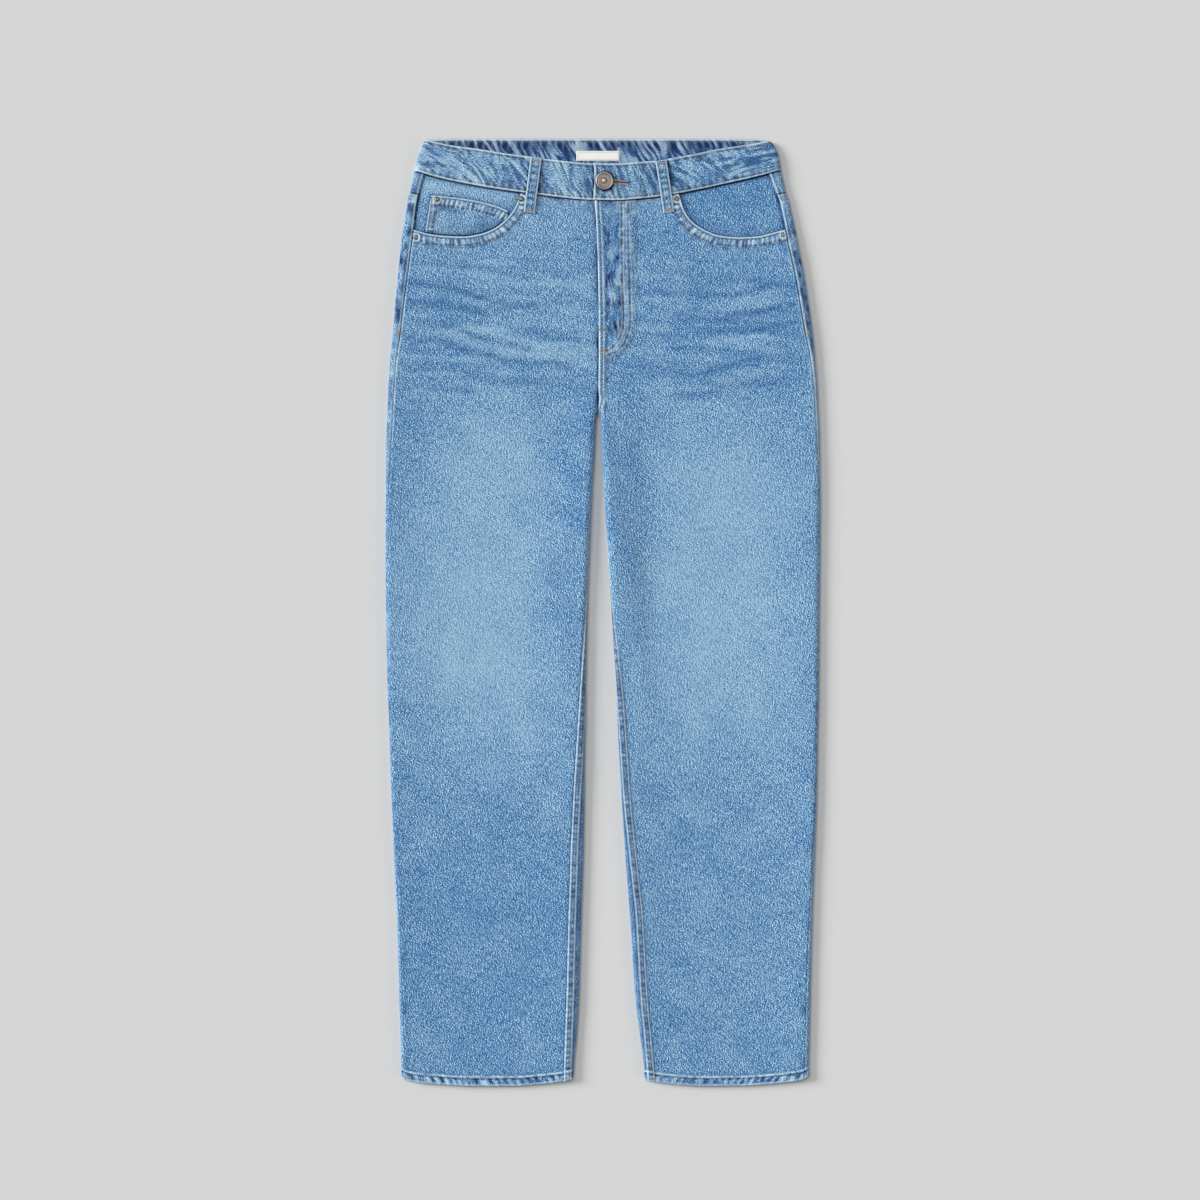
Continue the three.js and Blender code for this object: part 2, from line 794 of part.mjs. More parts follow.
function coinPocket() {
  const shares = [0, 0.14, 0.28, 0.42, 0.56, 0.7, 0.84, 0.93, 1];
  const firstX = COIN_TOP[0].x;
  const lastX = COIN_TOP[COIN_TOP.length - 1].x;
  const slant = (y) => COIN_SLANT * between(0, 1, (447 - y) / 38);
  const columnX = shares.map((share) => (y) => mix(firstX - slant(y), lastX, share));
  const low = (x) => RIGHT.mouth(x) + 2 * SEAM_GAP;
  const high = (x) => Math.max(coinTop(x), low(x) + 1.5);
  const grid = patchGrid(RIGHT, columnX, low, high, [0, 0.33, 0.66, 1]);
  const depth = DENIM - COIN_POCKET_THICK;
  return clothWall(RIGHT, grid, depth, COIN_POCKET_THICK);
}

// The waistband as one strip, from the end under the lap, round both folds, to the lap's edge
function bandColumns() {
  const front = [BAND_UNDERLAP_END_U, 0.55, 0.5, 0.478, 0.44, 0.38, 0.31, 0.23, 0.16, 0.09, 0.04];
  const folds = [75, 45, 15, -15, -45, -75];
  const under = [0.035, 0.08, 0.18, 0.3, 0.42, 0.5, 0.58, 0.7, 0.82, 0.92, 0.965];
  const lap = [0.96, 0.91, 0.84, 0.775, 0.71, 0.655, 0.635, 0.61, 0.56, 0.52, BAND_LAP_END_U];
  return [
    ...front.map((u) => ({ kind: "top", u, underlap: true })),
    ...folds.map((angle) => ({ kind: "fold", side: RIGHT, angle })),
    ...under.map((u) => ({ kind: "under", u })),
    ...folds.map((angle) => ({ kind: "fold", side: LEFT, angle: -angle })),
    ...lap.map((u) => ({ kind: "top", u, underlap: false })),
  ];
}

function bandPoint(column, up) {
  const right = RIGHT.bandSide(up);
  const left = LEFT.bandSide(up);
  const r = BAND_HIGH / 2;
  const a = r * EDGE_ROUND;
  let x = 0;
  let z = 0;
  let front = true;
  if (column.kind === "fold") {
    const angle = (column.angle * Math.PI) / 180;
    const edge = column.side === RIGHT ? right : left;
    x = edge + column.side.dir * a * (1 - Math.cos(angle));
    z = r + r * Math.sin(angle);
    front = column.angle > 0;
  } else {
    x = mix(right, left, column.u);
    front = column.kind === "top";
    const fromEdge = Math.min(x - right, left - x);
    z = front ? BAND_HIGH : SEAT_LIFT * smooth(a + 2, a + 16, fromEdge);
    if (front && column.underlap) {
      z -= BAND_UNDERLAP_DROP * smooth(0.44, 0.478, column.u);
    } else if (front) {
      z += BAND_LAP_RISE * (1 - smooth(0.61, 0.655, column.u));
    }
  }
  const u = (x - right) / (left - right);
  const bottom = front ? bandBottom(u) : waistSeam(x, false) + WAIST_GAP;
  const backTop = mix(507.3, mix(bandTop(0), bandTop(1), u), (2 * u - 1) ** 8);
  const top = front ? bandTop(u) : backTop;
  return new THREE.Vector3(x, mix(bottom, top, up), z);
}

function gridNormals(grid) {
  const rows = grid.length;
  const columns = grid[0].length;
  return grid.map((row, r) => row.map((_, c) => {
    const u = grid[r][Math.min(c + 1, columns - 1)].clone().sub(grid[r][Math.max(c - 1, 0)]);
    const v = grid[Math.min(r + 1, rows - 1)][c].clone().sub(grid[Math.max(r - 1, 0)][c]);
    return u.cross(v).normalize();
  }));
}

function waistband() {
  const columns = bandColumns();
  const outer = [0, 0.12, 0.5, 0.88, 1].map((up) => columns.map((c) => bandPoint(c, up)));
  const normals = gridNormals(outer);
  const sign = normals[2][2].z > 0 ? 1 : -1;
  const inner = outer.map((row, r) => row.map((point, c) => (
    point.clone().addScaledVector(normals[r][c], -sign * BAND_THICK)
  )));
  return wall(outer, inner);
}

function frontLoop(row) {
  const top = new THREE.Vector3(row.topX, row.topY, 0);
  const bottom = new THREE.Vector3(row.bottomX, row.bottomY, 0);
  const run = bottom.clone().sub(top).normalize();
  const sideways = new THREE.Vector3(-run.y, run.x, 0);
  const outer = [];
  const inner = [];
  for (const along of [0, 0.08, 0.22, 0.4, 0.56, 0.68, 0.78, 0.9, 1]) {
    const middle = top.clone().lerp(bottom, along);
    const z = loopBow(along);
    const points = [-0.5, -0.25, 0.25, 0.5].map((share) => (
      middle.clone().addScaledVector(sideways, share * LOOP_WIDE)
    ));
    inner.push(points.map((p) => p.clone().setZ(z)));
    outer.push(points.map((p, i) => {
      const worn = i === 0 || i === 3 ? 0.25 : 0;
      return p.clone().setZ(z + LOOP_THICK - worn);
    }));
  }
  return wall(outer, inner);
}

function rounded(points, radius, steps) {
  const outline = [];
  points.forEach((corner, i) => {
    const before = points[(i + points.length - 1) % points.length];
    const after = points[(i + 1) % points.length];
    const p = new THREE.Vector2(corner.x, corner.y);
    const a = new THREE.Vector2(before.x, before.y).sub(p).normalize().multiplyScalar(radius);
    const b = new THREE.Vector2(after.x, after.y).sub(p).normalize().multiplyScalar(radius);
    for (let k = 0; k <= steps; k += 1) {
      const t = k / steps;
      const from = p.clone().addScaledVector(a, (1 - t) ** 2);
      outline.push(from.addScaledVector(b, t ** 2));
    }
  });
  return outline;
}

function backLoop(x) {
  const half = LOOP_WIDE / 2;
  const top = 506;
  const corners = [
    { x: x - half, y: top - LOOP_LONG },
    { x: x + half, y: top - LOOP_LONG },
    { x: x + half, y: top },
    { x: x - half, y: top },
  ];
  return prism(rounded(corners, 1.2, 2), 0, BACK_POCKET_THICK);
}

function backPocket(side) {
  const corners = BACK_POCKET.map((row) => ({ x: CENTRE_X - side.dir * row.off, y: row.y }));
  return prism(rounded(corners, 3, 2), 0, BACK_POCKET_THICK);
}

function label() {
  const ground = SEAT_LIFT + BAND_THICK + LAYER_GAP;
  const corners = [
    { x: LABEL.left, y: LABEL.bottom },
    { x: LABEL.right, y: LABEL.bottom },
    { x: LABEL.right, y: LABEL.top },
    { x: LABEL.left, y: LABEL.top },
  ];
  return prism(corners, ground, ground + LABEL_THICK);
}

// A turned shape from a profile of {r, z}, set down at x, y, z
function turned(profile, sides, x, y, z) {
  const positions = [];
  for (const ring of profile) {
    for (let i = 0; i < sides; i += 1) {
      const angle = (2 * Math.PI * i) / sides;
      positions.push(x + ring.r * Math.cos(angle), y + ring.r * Math.sin(angle), z + ring.z);
    }
  }
  const foot = positions.length / 3;
  positions.push(x, y, z + profile[0].z);
  positions.push(x, y, z + profile[profile.length - 1].z);
  const index = [];
  for (let k = 0; k < profile.length - 1; k += 1) {
    for (let i = 0; i < sides; i += 1) {
      const j = (i + 1) % sides;
      const low = k * sides;
      const high = low + sides;
      index.push(low + i, low + j, high + j, low + i, high + j, high + i);
    }
  }
  const rim = (profile.length - 1) * sides;
  for (let i = 0; i < sides; i += 1) {
    const j = (i + 1) % sides;
    index.push(foot, j, i, foot + 1, rim + i, rim + j);
  }
  return faceOut(positions, index);
}

function button() {
  const r = BUTTON_RADIUS;
  const h = BUTTON_HIGH;
  const profile = table(["r", "z"], [
    [r * 0.44, 0],
    [r * 0.48, h * 0.34],
    [r * 0.93, h * 0.4],
    [r, h * 0.62],
    [r * 0.95, h * 0.86],
    [r * 0.8, h * 0.8],
    [r * 0.62, h * 0.84],
    [r * 0.38, h * 0.84],
    [r * 0.26, h],
  ]);
  const ground = BAND_HIGH + BAND_LAP_RISE + LAYER_GAP;
  return turned(profile, 24, BUTTON_X, BUTTON_Y, ground);
}

function rivet(row) {
  const r = RIVET_RADIUS;
  const h = RIVET_HIGH;
  const profile = table(["r", "z"], [
    [r * 0.94, 0],
    [r, h * 0.25],
    [r * 0.84, h * 0.55],
    [r * 0.6, h * 0.6],
    [r * 0.42, h * 0.95],
    [r * 0.2, h],
  ]);
  return turned(profile, 14, row.x, row.y, row.ground + LAYER_GAP);
}

const garment = new THREE.Group();
garment.name = "loose_fit_jeans";

function add(name, geometry, colour, roughness, metalness) {
  const material = new THREE.MeshStandardMaterial({ color: colour, roughness, metalness });
  const mesh = new THREE.Mesh(geometry, material);
  mesh.name = name;
  garment.add(mesh);
}

for (const side of [RIGHT, LEFT]) {
  add(`front_${side.name}`, frontPanel(side), WASHED_DENIM, 0.92, 0);
  add(`back_${side.name}`, backPanel(side), DEEP_DENIM, 0.92, 0);
  add(`yoke_${side.name}`, yoke(side), DEEP_DENIM, 0.92, 0);
  add(`pocket_facing_${side.name}`, pocketFacing(side), WAIST_DENIM, 0.92, 0);
  add(`back_pocket_${side.name}`, backPocket(side), DEEP_DENIM, 0.92, 0);
}
add("coin_pocket", coinPocket(), WASHED_DENIM, 0.92, 0);
add("waistband", waistband(), WAIST_DENIM, 0.92, 0);
for (const row of FRONT_LOOPS) {
  add(row.name, frontLoop(row), WAIST_DENIM, 0.92, 0);
}
for (const row of BACK_LOOPS) {
  add(row.name, backLoop(row.x), WAIST_DENIM, 0.92, 0);
}
add("label", label(), 0xeeebe2, 0.8, 0);
add("button", button(), 0x8d8179, 0.38, 1);
for (const row of RIVETS) {
  add(row.name, rivet(row), 0xb9a995, 0.36, 1);
}

export default garment;
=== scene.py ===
"""Looks of the loose fit jeans: denim shells, stitching, hardware, floor, light and camera."""

import math

import bpy
import numpy as np
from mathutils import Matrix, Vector
from mathutils.bvhtree import BVHTree


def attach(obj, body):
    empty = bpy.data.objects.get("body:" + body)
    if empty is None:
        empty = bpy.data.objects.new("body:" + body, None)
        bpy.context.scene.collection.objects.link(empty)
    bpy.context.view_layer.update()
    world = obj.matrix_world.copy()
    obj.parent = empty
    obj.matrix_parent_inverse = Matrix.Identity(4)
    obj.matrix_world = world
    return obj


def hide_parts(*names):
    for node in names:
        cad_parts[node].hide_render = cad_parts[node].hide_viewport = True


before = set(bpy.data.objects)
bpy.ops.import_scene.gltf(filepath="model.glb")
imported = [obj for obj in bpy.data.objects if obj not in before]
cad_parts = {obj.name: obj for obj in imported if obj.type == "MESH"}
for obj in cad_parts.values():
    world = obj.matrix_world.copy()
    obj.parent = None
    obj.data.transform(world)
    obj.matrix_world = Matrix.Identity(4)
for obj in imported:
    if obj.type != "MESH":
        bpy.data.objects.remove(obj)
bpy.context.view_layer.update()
MM = 0.001

# Sizes in millimetres, as in the solids. X is across, the waist is at +Y, the floor at Z 0.
# "right" and "left" are the wearer's, so the right leg lies at negative X.
DENIM = 1.6
BAND_THICK = 2.6
LAYER_GAP = 0.35
SEAM_GAP = 0.4
WAIST_GAP = 0.6
CROTCH_Y = 217.0
CENTRE_X = -4.6
CENTRE_SPARE = 20.0
WAIST_SIDE_Y = 473.0
WAIST_BACK_Y = 468.0
HEM_CORNER_Y = -500.0
EDGE_ROUND = 1.3
SEAT_LIFT = 1.65
FLY_RISE = 2.0
FLY_FADE = 12.0
FLY_UNDERLAP = 8.0
FLY_UNDERLAP_DROP = 0.4
BAND_HIGH = 8.0
BAND_LAP_RISE = 2.1
BAND_UNDERLAP_DROP = 0.85
BAND_LAP_END_U = 0.4876
BAND_UNDERLAP_END_U = 0.59
BAND_TALL = 39.0
BAND_BACK_TOP_Y = 507.3
FLOOR_CLEAR = 0.03
TUCK = 1.5
FELL_WIDE = 7.4
HEM_ROW_UP = 8.6

# Distances of the rows of stitching from the edge that they follow
MOUTH_ROWS = (2.7, 9.6)
COIN_TOP_ROWS = (2.4, 10.2)
COIN_SIDE_ROWS = (2.2, 7.6)
POCKET_TOP_ROWS = (2.0, 11.0)
POCKET_SIDE_ROWS = (1.8, 8.0)
BAND_ROW = 2.9
BAND_ROWS_UP = (0.074, 0.926)

INSEAM_ROWS = (2.3, 5.9)
YOKE_ROWS = (1.5, 7.7)
RISE_ROWS = (1.5, 6.1)
STITCH_PITCH = 3.3
STITCH_GAP = 0.4

# Heights at which the plumb line that finds the cloth for a stitch starts and ends
ABOVE = (30.0, -5.0)
BELOW = (-20.0, 5.0)
INSIDE_BAND = (4.9, 0.0)
ON_BAND = (30.0, 5.0)

# y, height, right outer and inner edge, right outseam and inseam along the cloth from those edges,
# left inner and outer edge, left outseam and inseam
SECTIONS = np.array([
    [-509, 6.0, -213.6, -33.6, 6.4, 9.5, 45.9, 219.9, 6.9, 11.4],
    [-495, 6.2, -215.0, -32.2, 6.4, 10.5, 45.0, 220.2, 6.9, 11.8],
    [-457, 6.6, -216.4, -28.6, 6.9, 12.9, 40.4, 221.2, 6.9, 13.4],
    [-414, 6.8, -217.9, -25.9, 6.4, 14.2, 35.1, 222.0, 6.9, 14.7],
    [-329, 6.8, -220.3, -23.4, 5.6, 14.5, 29.4, 224.0, 5.6, 15.5],
    [-265, 6.8, -223.2, -21.3, 4.5, 14.5, 24.6, 226.4, 4.5, 13.7],
    [-200, 6.9, -226.0, -20.1, 3.0, 12.9, 20.3, 228.8, 3.0, 11.5],
    [-136, 7.0, -228.2, -19.6, 1.8, 9.5, 16.8, 229.9, 1.8, 10.6],
    [-72, 7.0, -230.6, -19.3, 0.6, 6.0, 14.2, 231.1, 0.6, 8.2],
    [-8, 7.1, -231.8, -18.0, 0.4, 2.4, 10.7, 231.4, 0.0, 4.6],
    [56, 7.1, -232.5, -15.2, 1.6, -1.8, 6.6, 232.1, 0.0, 0.4],
    [120, 7.2, -232.4, -12.3, 5.0, -4.4, 2.0, 232.5, 1.2, -3.2],
    [185, 7.2, -231.8, -9.0, 7.7, -4.4, -1.2, 231.6, 4.6, -4.4],
    [209, 7.2, -230.9, -7.8, 8.2, -1.8, -2.0, 230.6, 5.0, -1.8],
    [217, 7.2, -230.6, -5.1, 8.3, 0.0, -4.1, 230.3, 5.1, 0.0],
    [240, 7.2, -229.6, -4.6, 8.5, 0.0, -4.6, 229.4, 5.4, 0.0],
    [270, 7.2, -227.6, -4.6, 8.8, 0.0, -4.6, 227.3, 6.7, 0.0],
    [299, 7.2, -224.9, -4.6, 10.5, 0.0, -4.6, 224.4, 9.7, 0.0],
    [329, 7.2, -222.4, -4.6, 11.4, 0.0, -4.6, 220.4, 11.0, 0.0],
    [355, 7.2, -219.8, -4.6, 12.2, 0.0, -4.6, 216.5, 11.3, 0.0],
    [399, 7.2, -215.4, -4.6, 13.6, 0.0, -4.6, 208.2, 12.5, 0.0],
    [437, 7.2, -209.4, -4.6, 12.1, 0.0, -4.6, 199.9, 11.9, 0.0],
    [450, 7.2, -206.4, -4.6, 11.8, 0.0, -4.6, 196.0, 12.5, 0.0],
    [474, 7.2, -201.3, -4.6, 13.2, 0.0, -4.6, 190.6, 16.1, 0.0],
])

# share of the way from the outer edge to the inner edge, right hem, left hem
HEM_EDGE = np.array([
    [0.0, -498.6, -496.6],
    [0.04, -501.8, -500.4],
    [0.14, -504.4, -503.2],
    [0.27, -506.1, -505.6],
    [0.4, -507.3, -506.9],
    [0.65, -507.2, -507.3],
    [0.83, -504.8, -505.2],
    [0.94, -502.4, -502.7],
    [1.0, -500.0, -500.8],
])

# share of the way across from the right fold, upper and lower edge of the front waistband
BAND_EDGES = np.array([
    [0.0, 506.5, 473.0],
    [0.08, 500.0, 464.2],
    [0.16, 496.0, 457.8],
    [0.23, 491.8, 453.2],
    [0.31, 487.8, 448.8],
    [0.38, 484.3, 445.2],
    [0.47, 481.2, 441.8],
    [0.55, 480.4, 441.0],
    [0.62, 482.1, 443.0],
    [0.69, 484.8, 446.6],
    [0.775, 490.4, 452.8],
    [0.863, 496.8, 460.4],
    [0.951, 501.8, 468.4],
    [1.0, 505.6, 474.0],
])

# share of the way up the waistband, right and left fold
BAND_SIDES = np.array([
    [0.0, -201.6, 190.6],
    [0.5, -196.8, 188.0],
    [0.85, -192.6, 183.2],
    [1.0, -190.6, 178.4],
])

# y, edge of the fly
FLY_EDGE = np.array([
    [217, -4.6],
    [236, -4.8],
    [278, -4.4],
    [302, -4.4],
    [360, -5.2],
    [408, -6.7],
    [445, -9.0],
])

# y, outer limit of the raised fly
FLY_LIMIT = np.array([
    [217, 2.0],
    [268, 4.0],
    [280, 15.0],
    [289, 23.0],
    [300, 27.0],
    [311, 29.0],
    [376, 27.5],
    [445, 27.5],
])

# x, y of the pocket mouths from the belt loop to the outseam
MOUTH = {
    "right": np.array([
        [-87.6, 456.0],
        [-88.5, 446.8],
        [-90.8, 440.4],
        [-95.8, 430.5],
        [-104.0, 420.6],
        [-115.5, 411.6],
        [-131.8, 405.1],
        [-149.8, 402.6],
        [-167.9, 403.2],
        [-184.3, 405.1],
        [-203.5, 410.2],
        [-240.0, 420.0],
    ]),
    "left": np.array([
        [80.0, 456.0],
        [82.3, 444.5],
        [86.3, 432.1],
        [95.3, 419.0],
        [108.5, 410.0],
        [124.9, 403.6],
        [144.6, 401.8],
        [164.1, 402.6],
        [180.5, 406.2],
        [198.0, 411.0],
        [240.0, 423.0],
    ]),
}

# x, y of the coin pocket's upper edge
COIN_TOP = np.array([
    [-184.0, 447.0],
    [-156.4, 444.4],
    [-131.8, 440.3],
    [-113.8, 435.4],
    [-101.0, 429.8],
])
COIN_ENDS = (-184.0, -101.0)
COIN_SLANT = 6.0

# distance from the centre back, y of the yoke seam
YOKE_SEAM = np.array([
    [0, 404],
    [60, 416],
    [120, 431],
    [170, 443],
    [205, 449],
    [240, 449],
])

# back pocket: distance from the centre back and y of its upper and its lower edge
BACK_POCKET_TOP = np.array([[34.0, 388.0], [104.0, 396.0], [172.0, 404.0]])
BACK_POCKET_FOOT = np.array([[41.0, 254.0], [98.0, 232.0], [165.0, 262.0]])

# J-shaped fly stitching: inner and outer row
FLY_ROW_INNER = np.array([
    [20.1, 438], [20.5, 360], [22.6, 318], [21.6, 302], [17.0, 291], [9.5, 283], [3.0, 279.6],
])
FLY_ROW_OUTER = np.array([
    [26.4, 438], [27.4, 376], [29.3, 316], [28.0, 300], [23.4, 288.5], [15.8, 280], [5.0, 275.4],
])
FLY_ROW_EDGE = np.array([
    [-1.5, 439], [0.6, 400], [2.2, 360], [2.7, 302], [1.9, 270], [1.8, 230],
])
FLY_TACKS = (
    ((-4.6, 302.6), (4.6, 302.6)), ((-4.6, 280.1), (5.2, 280.1)), ((1.9, 278), (1.9, 268)),
)

# Soft folds of the fronts: both ends, rise (below 0: a trough), half width
SOFT_FOLDS = np.array([
    [24, 195, 44, -110, 1.1, 13],
    [40, 120, 62, -60, -0.7, 12],
    [-76, 156, -30, 104, -0.9, 9],
    [-60, 60, -36, -70, 0.8, 12],
    [-165, 349, -20, 318, -0.7, 10],
    [-172, 290, -32, 262, -0.7, 10],
    [62, 344, 182, 353, -0.7, 10],
    [96, 296, 206, 310, -0.7, 10],
    [84, 232, 196, 251, -0.6, 10],
    [-150, -20, -96, -70, -0.6, 14],
    [118, -30, 176, -84, -0.6, 14],
    [-186, -300, -90, -330, 0.5, 16],
    [96, -290, 196, -316, 0.5, 16],
])

# Whisker streaks over the hips: both ends, strength, half width
WHISKERS = np.array([
    [-206, 352, -166, 350, 0.75, 4.0],
    [-166, 350, -134, 338, 0.95, 4.2],
    [-134, 338, -93, 328, 0.85, 4.4],
    [-93, 328, -50, 322, 0.6, 4.6],
    [-190, 372, -150, 374, 0.4, 4.0],
    [-150, 373, -79, 360, 0.55, 4.6],
    [-79, 360, -26, 357, 0.4, 4.6],
    [-205, 332, -174, 333, 0.6, 4.2],
    [-174, 333, -126, 320, 0.75, 4.6],
    [-196, 308, -158, 304, 0.55, 4.4],
    [-158, 304, -129, 294, 0.7, 4.6],
    [-129, 294, -79, 284, 0.7, 4.8],
    [-79, 300, -26, 291, 0.35, 5.0],
    [-204, 288, -174, 290, 0.6, 4.4],
    [-174, 290, -130, 275, 0.8, 4.8],
    [-130, 275, -81, 269, 0.75, 5.0],
    [-81, 269, -36, 262, 0.5, 5.4],
    [-147, 254, -93, 246, 0.5, 5.4],
    [-93, 246, -60, 246, 0.4, 5.4],
    [-180, 240, -140, 236, 0.35, 5.6],
    [59, 343, 93, 339, 0.5, 4.4],
    [93, 339, 142, 339, 0.75, 4.6],
    [142, 339, 182, 352, 0.8, 4.6],
    [182, 352, 206, 350, 0.5, 4.4],
    [79, 317, 121, 313, 0.6, 4.6],
    [121, 313, 160, 319, 0.8, 4.6],
    [160, 319, 204, 332, 0.8, 4.8],
    [113, 298, 176, 304, 0.75, 4.8],
    [176, 304, 212, 311, 0.6, 4.6],
    [76, 284, 113, 283, 0.4, 4.8],
    [113, 259, 168, 270, 0.7, 5.2],
    [168, 270, 205, 276, 0.55, 5.0],
    [83, 231, 128, 238, 0.45, 5.6],
    [128, 238, 198, 251, 0.5, 5.6],
    [40, 300, 84, 298, 0.3, 5.0],
    [46, 262, 92, 256, 0.3, 5.4],
])

FRONT_LOOPS = {
    "front_right": ((-71.0, 487.4), (-78.8, 427.0)),
    "front_left": ((62.2, 484.2), (70.9, 427.4)),
}
LOOP_BOW = np.array([
    [0.0, 8.45], [0.15, 9.1], [0.4, 9.7], [0.62, 9.1], [0.78, 8.6], [0.9, 7.9], [1.0, 7.6],
])
BACK_LOOPS = {"back_right": -104.0, "back_centre": -4.6, "back_left": 95.0}
LOOP_WIDE = 12.2
LOOP_LONG = 61.0
LOOP_ROWS = (-3.6, 3.6)
LOOP_TACK = 4.6
RIVETS = {
    "rivet_coin_pocket": (-177.3, 442.4, 6.6),
    "rivet_right_side": (-200.2, 401.6, 7.2),
    "rivet_right_inner": (-87.2, 442.6, 7.2),
    "rivet_left_inner": (79.4, 442.8, 7.2),
    "rivet_left_side": (193.3, 404.0, 7.2),
}
BUTTON = (1.8, 461.5, BAND_HIGH + BAND_LAP_RISE + LAYER_GAP)
BUTTON_RADIUS = 9.5


def smooth(start, end, value):
    t = np.clip((value - start) / (end - start), 0.0, 1.0)
    return t * t * (3 - 2 * t)


def mix(a, b, t):
    return a + (b - a) * t


def bell(value, width):
    return np.exp(-((value / width) ** 2))


def over(value, level=0.0):
    return np.maximum(value - level, 0)


# Waistband creases: direction in degrees, then the share of the way across where it is strongest
# and its half width there
BAND_LEANS = np.array([
    [-28, 0.0, 0.16],
    [-50, 0.24, 0.16],
    [-66, 0.55, 0.24],
    [-38, 0.78, 0.12],
    [14, 0.95, 0.17],
])


class Curve:
    """Monotone cubic through the first and another column of a table."""

    def __init__(self, table, column=1):
        rows = table[np.argsort(table[:, 0])].astype(float)
        self.x, self.y = rows[:, 0], rows[:, column]
        slope = np.diff(self.y) / np.diff(self.x)
        product = slope[:-1] * slope[1:]
        total = slope[:-1] + slope[1:]
        safe = np.where(np.abs(total) < 1e-12, 1.0, total)
        middle = np.where(product > 0, 2 * product / safe, 0.0)
        self.tangent = np.concatenate([[slope[0]], middle, [slope[-1]]])

    def __call__(self, value):
        v = np.clip(value, self.x[0], self.x[-1])
        i = np.clip(np.searchsorted(self.x, v, side="right") - 1, 0, len(self.x) - 2)
        wide = self.x[i + 1] - self.x[i]
        t = (v - self.x[i]) / wide
        t2, t3 = t * t, t * t * t
        start = (2 * t3 - 3 * t2 + 1) * self.y[i] + (t3 - 2 * t2 + t) * wide * self.tangent[i]
        return start + (3 * t2 - 2 * t3) * self.y[i + 1] + (t3 - t2) * wide * self.tangent[i + 1]


def noise(x, y, size_x, size_y, seed):
    """Smooth noise from -1 to 1 with features about that size."""
    table = np.random.default_rng(seed).uniform(-1, 1, (64, 64))
    u, v = np.asarray(x) / size_x, np.asarray(y) / size_y
    i, j = np.floor(u).astype(int), np.floor(v).astype(int)
    fu, fv = u - i, v - j
    fu, fv = fu * fu * (3 - 2 * fu), fv * fv * (3 - 2 * fv)
    a, b = table[i % 64, j % 64], table[(i + 1) % 64, j % 64]
    c, d = table[i % 64, (j + 1) % 64], table[(i + 1) % 64, (j + 1) % 64]
    return mix(mix(a, b, fu), mix(c, d, fu), fv)


def waver(run, pitch, wander, size, seed):
    """A sine wave along a run, whose phase wanders."""
    return np.sin(2 * math.pi * run / pitch + wander * noise(run, run * 0, size, 1, seed))


def to_segment(x, y, x1, y1, x2, y2):
    """Distance to a straight segment, and the share of the way along it."""
    dx, dy = x2 - x1, y2 - y1
    t = np.clip(((x - x1) * dx + (y - y1) * dy) / (dx * dx + dy * dy), 0, 1)
    return np.hypot(x - x1 - t * dx, y - y1 - t * dy), t


def to_line(x, y, points):
    """Distance to a polyline, and how far along it the nearest place is."""
    best, along, run = np.full(np.shape(x), 1e9), np.zeros(np.shape(x)), 0.0
    for (x1, y1), (x2, y2) in zip(points[:-1], points[1:]):
        away, t = to_segment(x, y, x1, y1, x2, y2)
        size = math.hypot(x2 - x1, y2 - y1)
        along = np.where(away < best, run + t * size, along)
        best = np.minimum(best, away)
        run += size
    return best, along


class Side:
    """One half of the garment: its edges, seams and pocket mouth as curves."""

    def __init__(self, name, turn, columns):
        self.name = name
        self.dir = turn
        outer, inner, outseam, inseam, hem, band = columns
        self.outer = Curve(SECTIONS, outer)
        self.inner = Curve(SECTIONS, inner)
        self.outseam = Curve(SECTIONS, outseam)
        self.inseam = Curve(SECTIONS, inseam)
        self.hem = Curve(HEM_EDGE, hem)
        self.band_side = Curve(BAND_SIDES, band)
        self.mouth = Curve(MOUTH[name])
        first, bend, last = MOUTH[name][[0, 3, -1], 0]
        x = np.concatenate([np.linspace(first, bend, 24), np.linspace(bend, last, 60)[1:]])
        self.mouth_line = np.stack([x, self.mouth(x)], 1)


RIGHT = Side("right", 1, (2, 3, 4, 5, 1, 1))
LEFT = Side("left", -1, (7, 6, 8, 9, 2, 2))
fold_high = Curve(SECTIONS)
fly_edge, fly_limit = Curve(FLY_EDGE), Curve(FLY_LIMIT)
band_top, band_bottom = Curve(BAND_EDGES), Curve(BAND_EDGES, 2)
yoke_seam, coin_top, loop_bow = Curve(YOKE_SEAM), Curve(COIN_TOP), Curve(LOOP_BOW)


def section(side, y):
    """The flattened cross-section at y: a ring with an elliptical fold at each edge."""
    high = fold_high(y)
    opened = smooth(CROTCH_Y, CROTCH_Y + 23, y)
    outer_r = high / 2 + 0.5 * smooth(430, 380, y)
    inner_r = high / 2 + (1 - opened) * (0.4 + 1.3 * bell(y - 120, 190))
    outer_a, inner_a = outer_r * EDGE_ROUND, inner_r * EDGE_ROUND
    outer_q = math.pi / 2 * np.sqrt((outer_a**2 + outer_r**2) / 2)
    inner_q = math.pi / 2 * np.sqrt((inner_a**2 + inner_r**2) / 2)
    spare = CENTRE_SPARE * smooth(CROTCH_Y + 21, CROTCH_Y + 46, y)
    outer = side.outer(y)
    reach = inner_a * (1 - np.cos(opened * math.pi / 2))
    inner = side.inner(y) + side.dir * (reach + spare)
    wide = side.dir * (inner - outer)
    return {
        "high": high, "opened": opened, "spare": spare, "outer": outer, "wide": wide,
        "outer_r": outer_r, "inner_r": inner_r, "outer_a": outer_a, "inner_a": inner_a,
        "outer_q": outer_q, "inner_q": inner_q,
        "length": outer_q + inner_q + wide - outer_a - inner_a,
    }


